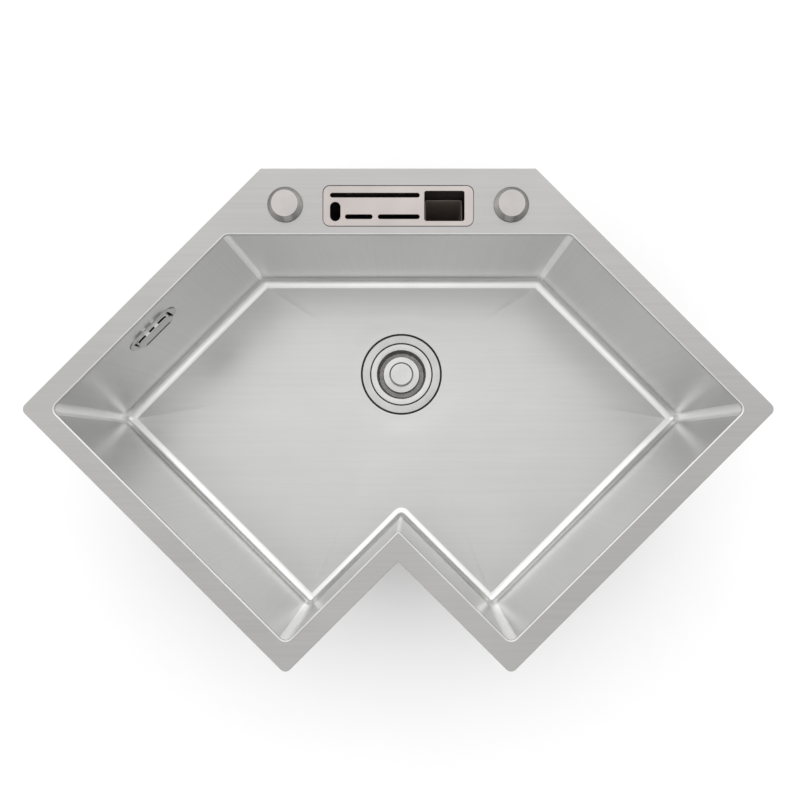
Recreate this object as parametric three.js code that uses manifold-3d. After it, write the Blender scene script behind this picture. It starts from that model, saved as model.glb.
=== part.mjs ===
// Corner kitchen sink: an L-shaped drop-in basin of folded stainless steel for the corner of a
// worktop. A wide deck across the corner carries two covered tap holes and a lift-out holder for
// knives and small tools. Below hang the drain, the overflow and the worktop clamps.
// Millimetres, +Z up, +Y towards the room's corner. The origin lies on the worktop, on the sink's
// plane of symmetry, under the middle of the deck's seal.

import * as THREE from 'three';
import { mergeVertices } from 'three/addons/utils/BufferGeometryUtils.js';
import Module from 'manifold-3d';

const wasm = await Module();
wasm.setup();

// ---------------------------------------------------------------- driving dimensions

// Rim, seen from above
const armLength = 720;            // the virtual outer corner to the tip of an arm
const armDepth = 505;             // across an arm
const cornerCut = 262;            // cut off each side where the deck crosses the corner
const deckDepth = 89.2;           // rim behind the opening
const rimWidth = 29.5;            // rim on the six other sides
const rimThickness = 3;
const tipRadius = 9;
const foldRadius = 2;             // on the deck's two corners and in the notch

// Bowl
const sheet = 1.2;
const bowlDepth = 215;            // rim top to the floor beside the drain
const floorFall = 4;              // the floor falls this much from its edge to the drain
const bowlCornerRadius = 10;
const floorFillet = 10;
const notchFoldRadius = 3;

// Drain, as a central-screw basket strainer
const drainFromBack = 159;        // opening's back edge to the drain's centre
const flangeRadius = 66.2;
const flangeGroove = 2.6;         // open groove round the flange
const drainHoleRadius = 56;
const basketRimRadius = 51.7;
const basketClearance = 1.4;
const seatLedge = 4.2;            // ledge that the basket's rim sits on
const seatDepth = 4.4;
const cupBottomRadius = 41;
const cupDepth = 36;
const drainSheet = 1.2;
const screwRadius = 4;
const outletRadius = 24;          // outside of the outlet thread
const outletWall = 4;
const tailRadius = 20;            // 40 mm tail pipe
const tailWall = 2;
const tailLength = 42;

// Overflow
const overflowBelowTop = 47;      // rim top to the overflow's centre
const overflowLength = 86;
const overflowHeight = 30;
const overflowRim = 4.5;          // frame above and below the cover's face
const overflowEnd = 11.8;         // frame beyond each end of it
const overflowCrescent = 3;       // open gap at each end of the face
const overflowStandOff = 3;
const overflowSlotMiddle = 10;    // open stretches along the cover's top
const overflowSlotSide = 20;
const overflowBridge = 7;
const overflowHoleLength = 70;
const overflowHoleHeight = 15;
const hoseBehindWall = 16;        // the basin's inner skin to the middle of the hose
const hoseRadius = 12;
const hoseBore = 8;
const hosePitch = 7;              // from rib to rib
const hoseBend = 62;
const hoseSag = 10;
const spigotRadius = 8.6;
const spigotLength = 20;

// Tap-hole covers
const tapHoleRadius = 17.5;
const tapSpacing = 304.4;
const tapFromBack = 48.8;
const coverRadius = 23.7;
const coverTopRadius = 17.9;
const coverHeight = 4.6;

// Knife and tool holder
const holderLength = 202;
const holderWidth = 54;
const holderRadius = 9;
const holderFromBack = 50.5;
const holderGroove = 0.7;         // open groove round the plate
const holderDepth = 118;
const holderWall = 2;
const ledgeOverlap = 2.5;
const ledgeWeld = 5;
const slotHeight = 6.2;
const slotInset = 9.2;            // plate's left end to the first slots
const slotRowInset = 12.5;        // plate's long edges to the middle of a row of slots
const shortSlotLength = 37;
const shortSlotGap = 7.2;
const scissorHoleWidth = 14;
const scissorHoleHeight = 25.8;
const scissorHoleInset = 6.6;     // plate's front edge to the oval hole
const scissorHoleGap = 6.2;
const cupBayWidth = 54;           // opening over the tool cup
const cupBayInset = 11.9;         // plate's right end to that opening
const cupBayMargin = 6.75;        // plate's long edges to that opening
const cupBayGap = 6.3;            // the slots' right ends to that opening
const toolCupDrop = 24;           // plate to the tool cup's rim

// Worktop clamps
const screwFromWall = 9;
const jawLength = 36;
const jawDrop = 46;               // rim underside to the jaw
const clampScrewRadius = 3;

// Fits
const touch = 0.3;                // between pieces that lie against a turned neighbour
const slip = 1;                   // round pieces that are lifted out by hand
const gasketThickness = 1.4;
const sealWidth = 7;
const sealThickness = 1;
const sealInset = 2;

// How finely round shapes are drawn
const roundSides = 30;
const ringSides = 24;
const smallSides = 12;
const cornerSteps = 4;
const filletSteps = 4;
const hoseSides = 8;
const arcSteps = 2;               // three.js draws each arc of an outline in twice as many steps

// ---------------------------------------------------------------- finishes

const finishes = {
  brushedSteel: { color: 0xc1beb9, roughness: 0.36, metalness: 1 },
  polishedSteel: { color: 0xcfcdca, roughness: 0.2, metalness: 1 },
  silverPlate: { color: 0xcec8c5, roughness: 0.45, metalness: 0.9 },
  zincSteel: { color: 0xa9abac, roughness: 0.42, metalness: 1 },
  blackPlastic: { color: 0x1c1a1a, roughness: 0.55, metalness: 0 },
  greyPlastic: { color: 0xd8d8d4, roughness: 0.5, metalness: 0 },
  blackRubber: { color: 0x202021, roughness: 0.8, metalness: 0 },
  greyFoam: { color: 0x6d6e70, roughness: 0.95, metalness: 0 },
};

// The worktop is the plane Z = 0. The sink is drawn from the underside of its rim, which its seal
// holds clear of the worktop.
const sink = new THREE.Group();
sink.position.z = sealThickness;

function piece(name, geometry, finish, parent = sink) {
  const mesh = new THREE.Mesh(geometry, new THREE.MeshStandardMaterial(finishes[finish]));
  mesh.name = name;
  parent.add(mesh);
  return mesh;
}

// ---------------------------------------------------------------- solids

// A closed three.js geometry as a solid that can be joined and cut.
function solidOf(geometry) {
  const bare = geometry.clone();
  bare.deleteAttribute('normal');
  bare.deleteAttribute('uv');
  const merged = mergeVertices(bare);
  return new wasm.Manifold(new wasm.Mesh({
    numProp: 3,
    vertProperties: new Float32Array(merged.getAttribute('position').array),
    triVerts: new Uint32Array(merged.index.array),
  }));
}

function geometryOf(solid) {
  const mesh = solid.getMesh();
  const geometry = new THREE.BufferGeometry();
  geometry.setAttribute('position', new THREE.BufferAttribute(mesh.vertProperties, 3));
  geometry.setIndex(new THREE.BufferAttribute(mesh.triVerts, 1));
  geometry.computeVertexNormals();
  return geometry;
}

const joined = (...shapes) => geometryOf(shapes.map(solidOf).reduce((whole, next) => whole.add(next)));
const cutBy = (shape, ...tools) => geometryOf(
  tools.map(solidOf).reduce((whole, next) => whole.subtract(next), solidOf(shape)));
const common = (first, second) => geometryOf(solidOf(first).intersect(solidOf(second)));

// A flat outline as a plate between two heights.
function plate(outline, low, high) {
  const geometry = new THREE.ExtrudeGeometry(outline, {
    depth: high - low,
    bevelEnabled: false,
    curveSegments: arcSteps,
  });
  return geometry.translate(0, 0, low);
}

function block(lowX, highX, lowY, highY, lowZ, highZ) {
  const geometry = new THREE.BoxGeometry(highX - lowX, highY - lowY, highZ - lowZ);
  return geometry.translate((lowX + highX) / 2, (lowY + highY) / 2, (lowZ + highZ) / 2);
}

function rod(radius, low, high, x = 0, y = 0, sides = smallSides) {
  const geometry = new THREE.CylinderGeometry(radius, radius, high - low, sides);
  return geometry.rotateX(Math.PI / 2).translate(x, y, (low + high) / 2);
}

// A profile of [radius, height] points, anticlockwise, turned about the Z axis.
function turned(profile, sides = roundSides) {
  const points = profile.map(([radius, height]) => new THREE.Vector2(radius, height));
  return new THREE.LatheGeometry(points, sides).rotateX(Math.PI / 2);
}

function ring(innerRadius, outerRadius, low, high, sides = ringSides) {
  return turned([
    [innerRadius, low], [outerRadius, low], [outerRadius, high], [innerRadius, high], [innerRadius, low],
  ], sides);
}

// A rectangle with round corners, about a centre.
function roundedRectangle(width, height, radius, x = 0, y = 0) {
  const right = width / 2;
  const top = height / 2;
  const r = Math.min(radius, right, top);
  const outline = new THREE.Shape();
  outline.absarc(x + right - r, y + top - r, r, 0, Math.PI / 2);
  outline.absarc(x - right + r, y + top - r, r, Math.PI / 2, Math.PI);
  outline.absarc(x - right + r, y - top + r, r, Math.PI, Math.PI * 1.5);
  outline.absarc(x + right - r, y - top + r, r, Math.PI * 1.5, Math.PI * 2);
  return outline;
}

// Rings of equal point counts joined into a skin. Rings run downwards and are anticlockwise
// from above. A looped skin closes on its first ring, an open one is capped at both ends.
function skin(rings, { looped = false, apex = null } = {}) {
  const count = rings[0].length;
  const points = rings.flat();
  const index = [];
  const bridges = looped ? rings.length : rings.length - 1;
  for (let row = 0; row < bridges; row += 1) {
    const upper = row * count;
    const lower = ((row + 1) % rings.length) * count;
    for (let i = 0; i < count; i += 1) {
      const j = (i + 1) % count;
      index.push(upper + i, lower + i, lower + j, upper + i, lower + j, upper + j);
    }
  }
  if (!looped) {
    const last = (rings.length - 1) * count;
    const cap = (outline) => THREE.ShapeUtils.triangulateShape(outline, []);
    cap(rings[0]).forEach(([a, b, c]) => index.push(a, b, c));
    if (apex) {
      points.push(apex);
      for (let i = 0; i < count; i += 1) {
        index.push(points.length - 1, last + ((i + 1) % count), last + i);
      }
    } else {
      cap(rings.at(-1)).forEach(([a, b, c]) => index.push(last + a, last + c, last + b));
    }
  }
  const geometry = new THREE.BufferGeometry().setFromPoints(points);
  geometry.setIndex(index);
  geometry.computeVertexNormals();
  return geometry;
}

// ---------------------------------------------------------------- the plan of the sink

const slant = Math.SQRT1_2;
const backEdge = sealInset + sealWidth / 2;
const outerCorner = backEdge + cornerCut * slant;
const point = (x, y) => new THREE.Vector2(x, y);

// Corners run anticlockwise from the deck's right end. Side i runs from corner i to i + 1.
const sideNames = ['back', 'leftBack', 'leftEnd', 'innerLeft', 'innerRight', 'rightEnd', 'rightBack'];
const side = Object.fromEntries(sideNames.map((name, i) => [name, i]));
const rimCorners = [
  point(cornerCut * slant, backEdge),
  point(-cornerCut * slant, backEdge),
  point(-armLength * slant, outerCorner - armLength * slant),
  point((armDepth - armLength) * slant, outerCorner - (armLength + armDepth) * slant),
  point(0, outerCorner - 2 * armDepth * slant),
  point((armLength - armDepth) * slant, outerCorner - (armLength + armDepth) * slant),
  point(armLength * slant, outerCorner - armLength * slant),
];
const notch = side.innerRight;
const deckCorners = [side.back, side.leftBack];

// Moves each side of an outline inwards by its own width.
function movedIn(corners, widths) {
  const count = corners.length;
  const lines = corners.map((start, i) => {
    const along = corners[(i + 1) % count].clone().sub(start).normalize();
    const inwards = point(-along.y, along.x);
    return { start: start.clone().addScaledVector(inwards, widths[i]), along };
  });
  return lines.map((line, i) => {
    const before = lines[(i + count - 1) % count];
    const gap = line.start.clone().sub(before.start);
    const reach = gap.cross(line.along) / before.along.cross(line.along);
    return before.start.clone().addScaledVector(before.along, reach);
  });
}

// Replaces each corner by an arc of its own radius.
function rounded(corners, radii) {
  const count = corners.length;
  return corners.flatMap((corner, i) => {
    const arriving = corner.clone().sub(corners[(i + count - 1) % count]).normalize();
    const leaving = corners[(i + 1) % count].clone().sub(corner).normalize();
    const turn = Math.atan2(arriving.cross(leaving), arriving.dot(leaving));
    const bend = Math.sign(turn);
    const steps = Math.max(2, Math.round(cornerSteps * Math.abs(turn) / (Math.PI / 2)));
    const leftwards = point(-arriving.y, arriving.x);
    const centre = corner.clone()
      .addScaledVector(arriving, -radii[i] * Math.tan(Math.abs(turn) / 2))
      .addScaledVector(leftwards, radii[i] * bend);
    const arc = Array.from({ length: steps + 1 }, (_, k) => k / steps);
    return arc.map((part) => {
      const towards = leftwards.clone().rotateAround(point(0, 0), turn * part);
      return centre.clone().addScaledVector(towards, -radii[i] * bend);
    });
  });
}

const sideWidths = rimCorners.map((_, i) => (i === side.back ? deckDepth : rimWidth));
const openingCorners = movedIn(rimCorners, sideWidths);
const smallestRadius = 0.6;

function rimOutline(inset) {
  const radii = rimCorners.map((_, i) => {
    if (i === notch) return foldRadius + inset;
    const radius = deckCorners.includes(i) ? foldRadius : tipRadius;
    return Math.max(radius - inset, smallestRadius);
  });
  return rounded(movedIn(rimCorners, rimCorners.map(() => inset)), radii);
}

// The basin's inner skin at some height, moved in (or out, if negative) by an even width.
function basinOutline(inset) {
  const radii = openingCorners.map((_, i) => (
    i === notch
      ? Math.max(notchFoldRadius + inset, smallestRadius)
      : Math.max(bowlCornerRadius - inset, smallestRadius)
  ));
  return rounded(movedIn(openingCorners, openingCorners.map(() => inset)), radii);
}

// ---------------------------------------------------------------- heights

const rimTop = rimThickness;
const drainFloor = rimTop - bowlDepth;          // the floor beside the drain
const floorEdge = drainFloor + floorFall;       // the floor at the foot of the walls
const drainCentre = point(0, openingCorners[0].y - drainFromBack);

// Everything inside a wall that stands this far outside the basin's inner skin.
function basinSolid(wall, top) {
  const at = (inset, height) => basinOutline(inset).map((p) => new THREE.Vector3(p.x, p.y, height));
  const outerFillet = floorFillet + wall;
  const rings = [at(-wall, top)];
  for (let step = 0; step <= filletSteps; step += 1) {
    const angle = (step / filletSteps) * Math.PI / 2;
    const inset = outerFillet * (1 - Math.cos(angle)) - wall;
    rings.push(at(inset, floorEdge - wall + outerFillet * (1 - Math.sin(angle))));
  }
  return skin(rings, { apex: new THREE.Vector3(drainCentre.x, drainCentre.y, drainFloor - wall) });
}

// A frame that stands on one wall of the bowl: X along the wall, Y away from the basin, Z up.
function wallFrame(wallSide, share, height) {
  const from = openingCorners[wallSide];
  const to = openingCorners[(wallSide + 1) % openingCorners.length];
  const along = to.clone().sub(from).normalize();
  const foot = from.clone().lerp(to, share);
  return new THREE.Matrix4()
    .makeRotationZ(Math.atan2(-along.y, -along.x))
    .setPosition(foot.x, foot.y, height);
}

function turnedGroup(matrix) {
  const group = new THREE.Group();
  group.applyMatrix4(matrix);
  sink.add(group);
  return group;
}

// ---------------------------------------------------------------- rim and bowl

const tapPlaces = [-1, 1].map((hand) => point(hand * tapSpacing / 2, backEdge - tapFromBack));
const holderCentre = point(0, backEdge - holderFromBack);

function rimPanel() {
  const outline = new THREE.Shape(rimOutline(0));
  outline.holes.push(new THREE.Path(basinOutline(0)));
  tapPlaces.forEach((place) => {
    const width = 2 * tapHoleRadius;
    outline.holes.push(roundedRectangle(width, width, tapHoleRadius, place.x, place.y));
  });
  outline.holes.push(roundedRectangle(
    holderLength + 2 * holderGroove, holderWidth + 2 * holderGroove,
    holderRadius + holderGroove, holderCentre.x, holderCentre.y));
  return plate(outline, 0, rimTop);
}
piece('rim_panel', rimPanel(), 'brushedSteel');

function rimSeal() {
  const outline = new THREE.Shape(rimOutline(sealInset));
  outline.holes.push(new THREE.Path(rimOutline(sealInset + sealWidth)));
  return plate(outline, -sealThickness, 0);
}
piece('rim_seal', rimSeal(), 'greyFoam');

const recessRadius = flangeRadius + flangeGroove;
const flangeBase = drainFloor - drainSheet;
const recessFloor = flangeBase - gasketThickness;
const flatRadius = recessRadius + 3;            // pressed flat round the drain's recess
const overflowHeightZ = rimTop - overflowBelowTop;
const overflowFrame = wallFrame(side.leftBack, 0.5, overflowHeightZ);

// An upright oblong through the wall, drawn in the wall's own frame.
function wallOblong(width, height, near, far) {
  return plate(roundedRectangle(width, height, height / 2), near, far)
    .rotateX(Math.PI / 2).translate(0, near + far, 0);
}

function bowl() {
  const { x, y } = drainCentre;
  const shell = joined(
    basinSolid(sheet, 0),
    rod(flatRadius + sheet, drainFloor - sheet, floorEdge, x, y, roundSides),
    rod(recessRadius + sheet, recessFloor - sheet, drainFloor, x, y, roundSides),
  );
  return cutBy(
    shell,
    basinSolid(0, rimTop),
    rod(flatRadius, drainFloor, rimTop, x, y, roundSides),
    rod(recessRadius, recessFloor, rimTop, x, y, roundSides),
    rod(drainHoleRadius, recessFloor - 2 * sheet, rimTop, x, y, roundSides),
    wallOblong(overflowHoleLength, overflowHoleHeight, -sheet, 2 * sheet).applyMatrix4(overflowFrame),
  );
}
piece('bowl', bowl(), 'brushedSteel');

// Rubber sheets that deaden the sound of the bowl: a layer of its outside, trimmed to an outline.
const padThickness = 2.5;
const padFromWall = 34;
const padFromDrain = 96;

function floorPad(hand) {
  const gap = sheet + touch;
  const layer = cutBy(basinSolid(gap + padThickness, 0), basinSolid(gap, rimTop));
  const trimmed = new THREE.Shape(rounded(
    movedIn(openingCorners, openingCorners.map(() => padFromWall)), openingCorners.map(() => 10)));
  const low = recessFloor - 4 * padThickness;
  const under = common(layer, plate(trimmed, low, floorEdge + padThickness / 2));
  const reach = armLength;
  const innerSide = [hand * padFromDrain, hand * reach].sort((a, b) => a - b);
  return common(under, block(...innerSide, -2 * reach, reach, 2 * low, 0));
}
piece('sound_pad_left_floor', floorPad(-1), 'blackRubber');
piece('sound_pad_right_floor', floorPad(1), 'blackRubber');

function wallPad(length, height) {
  return plate(roundedRectangle(length, height, 8), 0, padThickness)
    .rotateX(Math.PI / 2).translate(0, sheet + touch + padThickness, 0);
}
const wallPads = {
  back: side.back,
  left_end: side.leftEnd,
  right_end: side.rightEnd,
  right_back: side.rightBack,
};
Object.entries(wallPads).forEach(([name, wallSide]) => {
  const from = openingCorners[wallSide];
  const to = openingCorners[(wallSide + 1) % openingCorners.length];
  const group = turnedGroup(wallFrame(wallSide, 0.5, -bowlDepth * 0.66));
  piece(`sound_pad_${name}`, wallPad(from.distanceTo(to) * 0.5, bowlDepth * 0.3), 'blackRubber', group);
});

// ---------------------------------------------------------------- drain

const drain = new THREE.Group();
drain.position.set(drainCentre.x, drainCentre.y, 0);
sink.add(drain);

const throatRadius = basketRimRadius + basketClearance;
const seat = drainFloor - seatDepth;            // top of the ledge for the basket's rim
const cupTopRadius = throatRadius - seatLedge;
const cupFloor = drainFloor - cupDepth;         // top of the cup's bottom sheet
const screwHoleRadius = screwRadius + touch;

piece('flange_seal', ring(drainHoleRadius - 1, recessRadius - slip, recessFloor, flangeBase),
  'blackRubber', drain);

// Steel cup: flange, throat, seat ledge and tapered well with a slotted bottom.
const outletSlotInner = 12;
const outletSlotOuter = 22;
function strainerCup() {
  const t = drainSheet;
  const cup = turned([
    [screwHoleRadius, cupFloor - t],
    [cupBottomRadius + t, cupFloor - t],
    [cupTopRadius + t, seat - t],
    [throatRadius + t, seat - t],
    [throatRadius + t, flangeBase],
    [flangeRadius, flangeBase],
    [flangeRadius - t / 2, drainFloor],
    [throatRadius, drainFloor],
    [throatRadius, seat],
    [cupTopRadius, seat],
    [cupBottomRadius, cupFloor],
    [screwHoleRadius, cupFloor],
    [screwHoleRadius, cupFloor - t],
  ]);
  const slots = [0, 1, 2, 3].map((quarter) => {
    const outline = new THREE.Shape();
    const half = Math.PI / 4 - 0.22;
    const middle = quarter * Math.PI / 2;
    outline.absarc(0, 0, outletSlotOuter, middle - half, middle + half, false);
    outline.absarc(0, 0, outletSlotInner, middle + half, middle - half, true);
    return plate(outline, cupFloor - 2 * t, cupFloor + t);
  });
  return cutBy(cup, ...slots);
}
piece('strainer_cup', strainerCup(), 'polishedSteel', drain);

// Plastic housing that is drawn up against the bowl from below by the screw in its middle.
const housingTop = recessFloor - sheet - 2 * gasketThickness;
const housingFlange = 66;
const housingInner = throatRadius + drainSheet + touch;
const housingOuter = housingInner + 3;
const housingBody = 52;
const housingLow = housingTop - housingBody;
const housingCone = 13;
const outletTop = housingLow - housingCone;
const outletLow = outletTop - spigotLength;
const outletBore = outletRadius - outletWall;
const hubRadius = screwRadius + 4.5;
const hubTop = cupFloor - drainSheet - 2;
const hubLength = 13;
const hubLow = hubTop - hubLength;
const spigotHeight = (housingTop + housingLow) / 2 - 6;

const overflowFoot = new THREE.Vector3(0, hoseBehindWall, 0).applyMatrix4(overflowFrame);
const towardsOverflow = Math.atan2(overflowFoot.y - drainCentre.y, overflowFoot.x - drainCentre.x);
const spigotEnd = housingOuter + spigotLength;

// A short tube that runs out from the drain's axis towards the overflow.
function sideTube(radius, near, far) {
  return rod(radius, near, far).rotateY(Math.PI / 2).translate(0, 0, spigotHeight).rotateZ(towardsOverflow);
}

function drainHousing() {
  const flangeLow = housingTop - 4;
  const cup = turned([
    [outletBore, outletLow],
    [outletRadius, outletLow],
    [outletRadius, outletTop],
    [housingOuter, housingLow],
    [housingOuter, flangeLow],
    [housingFlange, flangeLow],
    [housingFlange, housingTop],
    [housingInner, housingTop],
    [housingInner, housingLow + 2],
    [outletBore, outletTop + 2],
    [outletBore, outletLow],
  ]);
  const ribThickness = 3;
  const ribHeight = 10;
  const ribs = [0, 1, 2].map((third) => (
    block(hubRadius - 1, housingInner + 1, -ribThickness / 2, ribThickness / 2,
      hubLow, hubLow + ribHeight)
      .rotateZ((third * 2 + 0.5) * Math.PI / 3)
  ));
  const hub = rod(hubRadius, hubLow, hubTop);
  const body = joined(cup, hub, ...ribs, sideTube(spigotRadius, housingInner + 1, spigotEnd));
  return cutBy(
    body,
    rod(screwHoleRadius, hubLow - 1, hubTop + 1),
    sideTube(spigotRadius - 2, housingInner - 4, spigotEnd + 1),
  );
}
piece('drain_housing', drainHousing(), 'blackPlastic', drain);
piece('housing_gasket', ring(drainHoleRadius + 1, housingFlange - 1, housingTop, recessFloor - sheet),
  'blackRubber', drain);

function centreScrew() {
  const headRadius = screwRadius + 3;
  const screw = turned([
    [0, hubLow], [screwRadius, hubLow], [screwRadius, cupFloor], [headRadius, cupFloor],
    [headRadius, cupFloor + 1.6], [headRadius - 2.4, cupFloor + 3], [0, cupFloor + 3],
  ], smallSides);
  const slotWidth = 1.4;
  const half = slotWidth / 2;
  const driverSlot = block(-headRadius, headRadius, -half, half, cupFloor + 1.4, cupFloor + 4);
  return cutBy(screw, driverSlot);
}
piece('centre_screw', centreScrew(), 'zincSteel', drain);

// Tail pipe with a collar, a sealing ring above it, and the nut that pulls both to the outlet.
const tailCollar = 3;
const tailTop = outletLow - gasketThickness * 1.5;
const tailLow = tailTop - tailLength;
piece('outlet_washer', ring(outletBore, outletRadius, tailTop, outletLow), 'blackRubber', drain);
piece('tail_pipe', turned([
  [tailRadius - tailWall, tailLow],
  [tailRadius, tailLow],
  [tailRadius, tailTop - tailCollar],
  [outletRadius, tailTop - tailCollar],
  [outletRadius, tailTop],
  [tailRadius - tailWall, tailTop],
  [tailRadius - tailWall, tailLow],
]), 'greyPlastic', drain);

function grippedNut(innerRadius, outerRadius, low, high, lipRadius, lipHeight) {
  const nut = turned([
    [lipRadius, low],
    [outerRadius, low],
    [outerRadius, high],
    [innerRadius, high],
    [innerRadius, low + lipHeight],
    [lipRadius, low + lipHeight],
    [lipRadius, low],
  ], 24);
  const grips = Array.from({ length: 8 }, (_, i) => (
    block(outerRadius - 1, outerRadius + 2, -2, 2, low, high).rotateZ(i * Math.PI / 4)
  ));
  return joined(nut, ...grips);
}
const nutLip = 3;
piece('outlet_nut', grippedNut(
  outletRadius + touch, outletRadius + 5, tailTop - tailCollar - nutLip - touch, outletTop - 4,
  tailRadius + touch, nutLip,
), 'greyPlastic', drain);

// ---------------------------------------------------------------- lift-out basket

const grooveOuter = 40;
const grooveInner = 31;
const fingerGap = 4.6;            // under the knob's edge
const hatTop = drainFloor - 5;
const knobBase = hatTop + fingerGap;
const grooveDepth = 20;
const grooveFloor = drainFloor - grooveDepth;
const basketHoles = 12;           // through the side of the raised hat
const basketHoleRadius = 1.8;
const basketHoleHeight = 3.4;     // above the groove's floor
const stemRadius = 3;
const knobRadius = 20.4;
const knobThickness = 3;
const stopperRadius = 27;
const stopperThickness = 3;
const stopperTop = cupFloor + stopperThickness;

function strainerBasket() {
  const t = drainSheet;
  const sealTop = seat + gasketThickness;
  const basket = turned([
    [stemRadius + touch, hatTop - t],
    [grooveInner - t, hatTop - t],
    [grooveInner - t, grooveFloor - t],
    [grooveOuter, grooveFloor - t],
    [grooveOuter + t, sealTop],
    [basketRimRadius, sealTop],
    [basketRimRadius, drainFloor - 0.4],
    [basketRimRadius - 1, drainFloor],
    [grooveOuter + 2, drainFloor - 1],
    [grooveOuter, drainFloor - 3],
    [grooveOuter - t, grooveFloor],
    [grooveInner, grooveFloor],
    [grooveInner, hatTop - 1],
    [grooveInner - 1, hatTop],
    [stemRadius + touch, hatTop],
    [stemRadius + touch, hatTop - t],
  ]);
  const holes = Array.from({ length: basketHoles }, (_, i) => (
    rod(basketHoleRadius, grooveInner - 3 * t, grooveInner + t, 0, 0, 6)
      .rotateY(Math.PI / 2)
      .translate(0, 0, grooveFloor + basketHoleHeight)
      .rotateZ(i * 2 * Math.PI / basketHoles)
  ));
  return cutBy(basket, ...holes);
}
piece('strainer_basket', strainerBasket(), 'polishedSteel', drain);
piece('basket_seal', ring(cupTopRadius + 0.4, basketRimRadius - 0.4, seat, seat + gasketThickness),
  'blackRubber', drain);

const knobNeck = 8;
piece('basket_knob', turned([
  [stemRadius + touch, hatTop],
  [knobNeck, hatTop],
  [knobNeck, knobBase],
  [knobRadius - 1, knobBase],
  [knobRadius, knobBase + 1],
  [knobRadius - 0.6, knobBase + knobThickness],
  [knobRadius - 4, knobBase + knobThickness - 0.4],
  [0, knobBase + knobThickness - 0.8],
  [0, knobBase],
  [stemRadius + touch, knobBase],
  [stemRadius + touch, hatTop],
]), 'polishedSteel', drain);

piece('basket_stem', turned([
  [0, stopperTop],
  [stopperRadius - 1, stopperTop],
  [stopperRadius - 1, stopperTop + 1.2],
  [stemRadius, stopperTop + 1.2],
  [stemRadius, knobBase - touch],
  [0, knobBase - touch],
], 24), 'polishedSteel', drain);
piece('stopper_seal', ring(outletSlotInner - 3, stopperRadius, cupFloor, stopperTop), 'blackRubber', drain);

// ---------------------------------------------------------------- overflow

const overflow = turnedGroup(overflowFrame);
const studPlaces = [-1, 1].map((hand) => hand * overflowHoleLength * 0.36);
const studRadius = 2;
const overflowBack = 22;                        // housing's depth behind the wall
const housingFront = sheet + touch + gasketThickness + touch;

// Cover: a frame on the basin's side of the wall and a face that stands off it. The gap between
// them is open along the top, in three stretches, and at both ends, where the frame is open too.
function overflowCover() {
  const frameThickness = 1.2;
  const frameFace = -touch - frameThickness;
  const face = frameFace - overflowStandOff;
  const innerLength = overflowLength - 2 * overflowEnd;
  const innerHeight = overflowHeight - 2 * overflowRim;
  const frame = wallOblong(overflowLength, overflowHeight, frameFace, -touch);
  const faceWall = wallOblong(innerLength + 2, innerHeight + 2, face - 1, frameFace);
  const hollow = wallOblong(innerLength, innerHeight, face, touch);
  const top = innerHeight / 2;
  const half = overflowSlotMiddle / 2;
  const topSlots = [
    [-half - overflowBridge - overflowSlotSide, -half - overflowBridge],
    [-half, half],
    [half + overflowBridge, half + overflowBridge + overflowSlotSide],
  ].map(([left, right]) => block(left, right, face, frameFace, top - 2, top + 3));
  const endSlots = [-1, 1].map((hand) => {
    const near = hand * (innerLength / 2 - 4);
    const far = hand * (innerLength / 2 + 1 + overflowCrescent);
    return block(Math.min(near, far), Math.max(near, far), face, touch, 2 - top, top - 2);
  });
  const studs = studPlaces.map((x) => (
    rod(studRadius, face - 0.5, overflowBack + 8, 0, 0, 10).rotateX(-Math.PI / 2).translate(x, 0, 0)
  ));
  return joined(cutBy(joined(frame, faceWall), hollow, ...topSlots, ...endSlots), ...studs);
}
piece('overflow_cover', overflowCover(), 'brushedSteel', overflow);

function overflowGasket() {
  const near = sheet + touch;
  return cutBy(
    wallOblong(overflowLength, overflowHeight, near, near + gasketThickness),
    wallOblong(overflowHoleLength + 2, overflowHoleHeight + 2, near - 1, near + gasketThickness + 1),
  );
}
piece('overflow_gasket', overflowGasket(), 'blackRubber', overflow);

const overflowSpigotLow = -overflowHeight / 2 - spigotLength;
function overflowHousing() {
  const wall = 2;
  const length = overflowLength - 6;
  const height = overflowHeight - 6;
  const body = joined(
    wallOblong(overflowLength, overflowHeight, housingFront, housingFront + wall),
    wallOblong(length, height, housingFront, overflowBack),
    rod(spigotRadius, overflowSpigotLow, -overflowHeight / 2 + 6, 0, hoseBehindWall),
  );
  const studHoles = studPlaces.map((x) => (
    rod(studRadius + touch, housingFront, overflowBack + 1, 0, 0, 10)
      .rotateX(-Math.PI / 2).translate(x, 0, 0)
  ));
  return cutBy(
    body,
    wallOblong(length - 2 * wall, height - 2 * wall, housingFront - 1, overflowBack - wall),
    rod(spigotRadius - 2, overflowSpigotLow - 1, 0, 0, hoseBehindWall),
    ...studHoles,
  );
}
piece('overflow_housing', overflowHousing(), 'blackPlastic', overflow);

const nutSides = 6;
studPlaces.forEach((x, i) => {
  const nut = cutBy(
    rod(4.2, overflowBack + touch, overflowBack + 4, 0, 0, nutSides),
    rod(studRadius + touch, overflowBack, overflowBack + 5, 0, 0, 10),
  );
  piece(`overflow_nut_${i + 1}`, nut.rotateX(-Math.PI / 2).translate(x, 0, 0), 'zincSteel', overflow);
});

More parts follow.
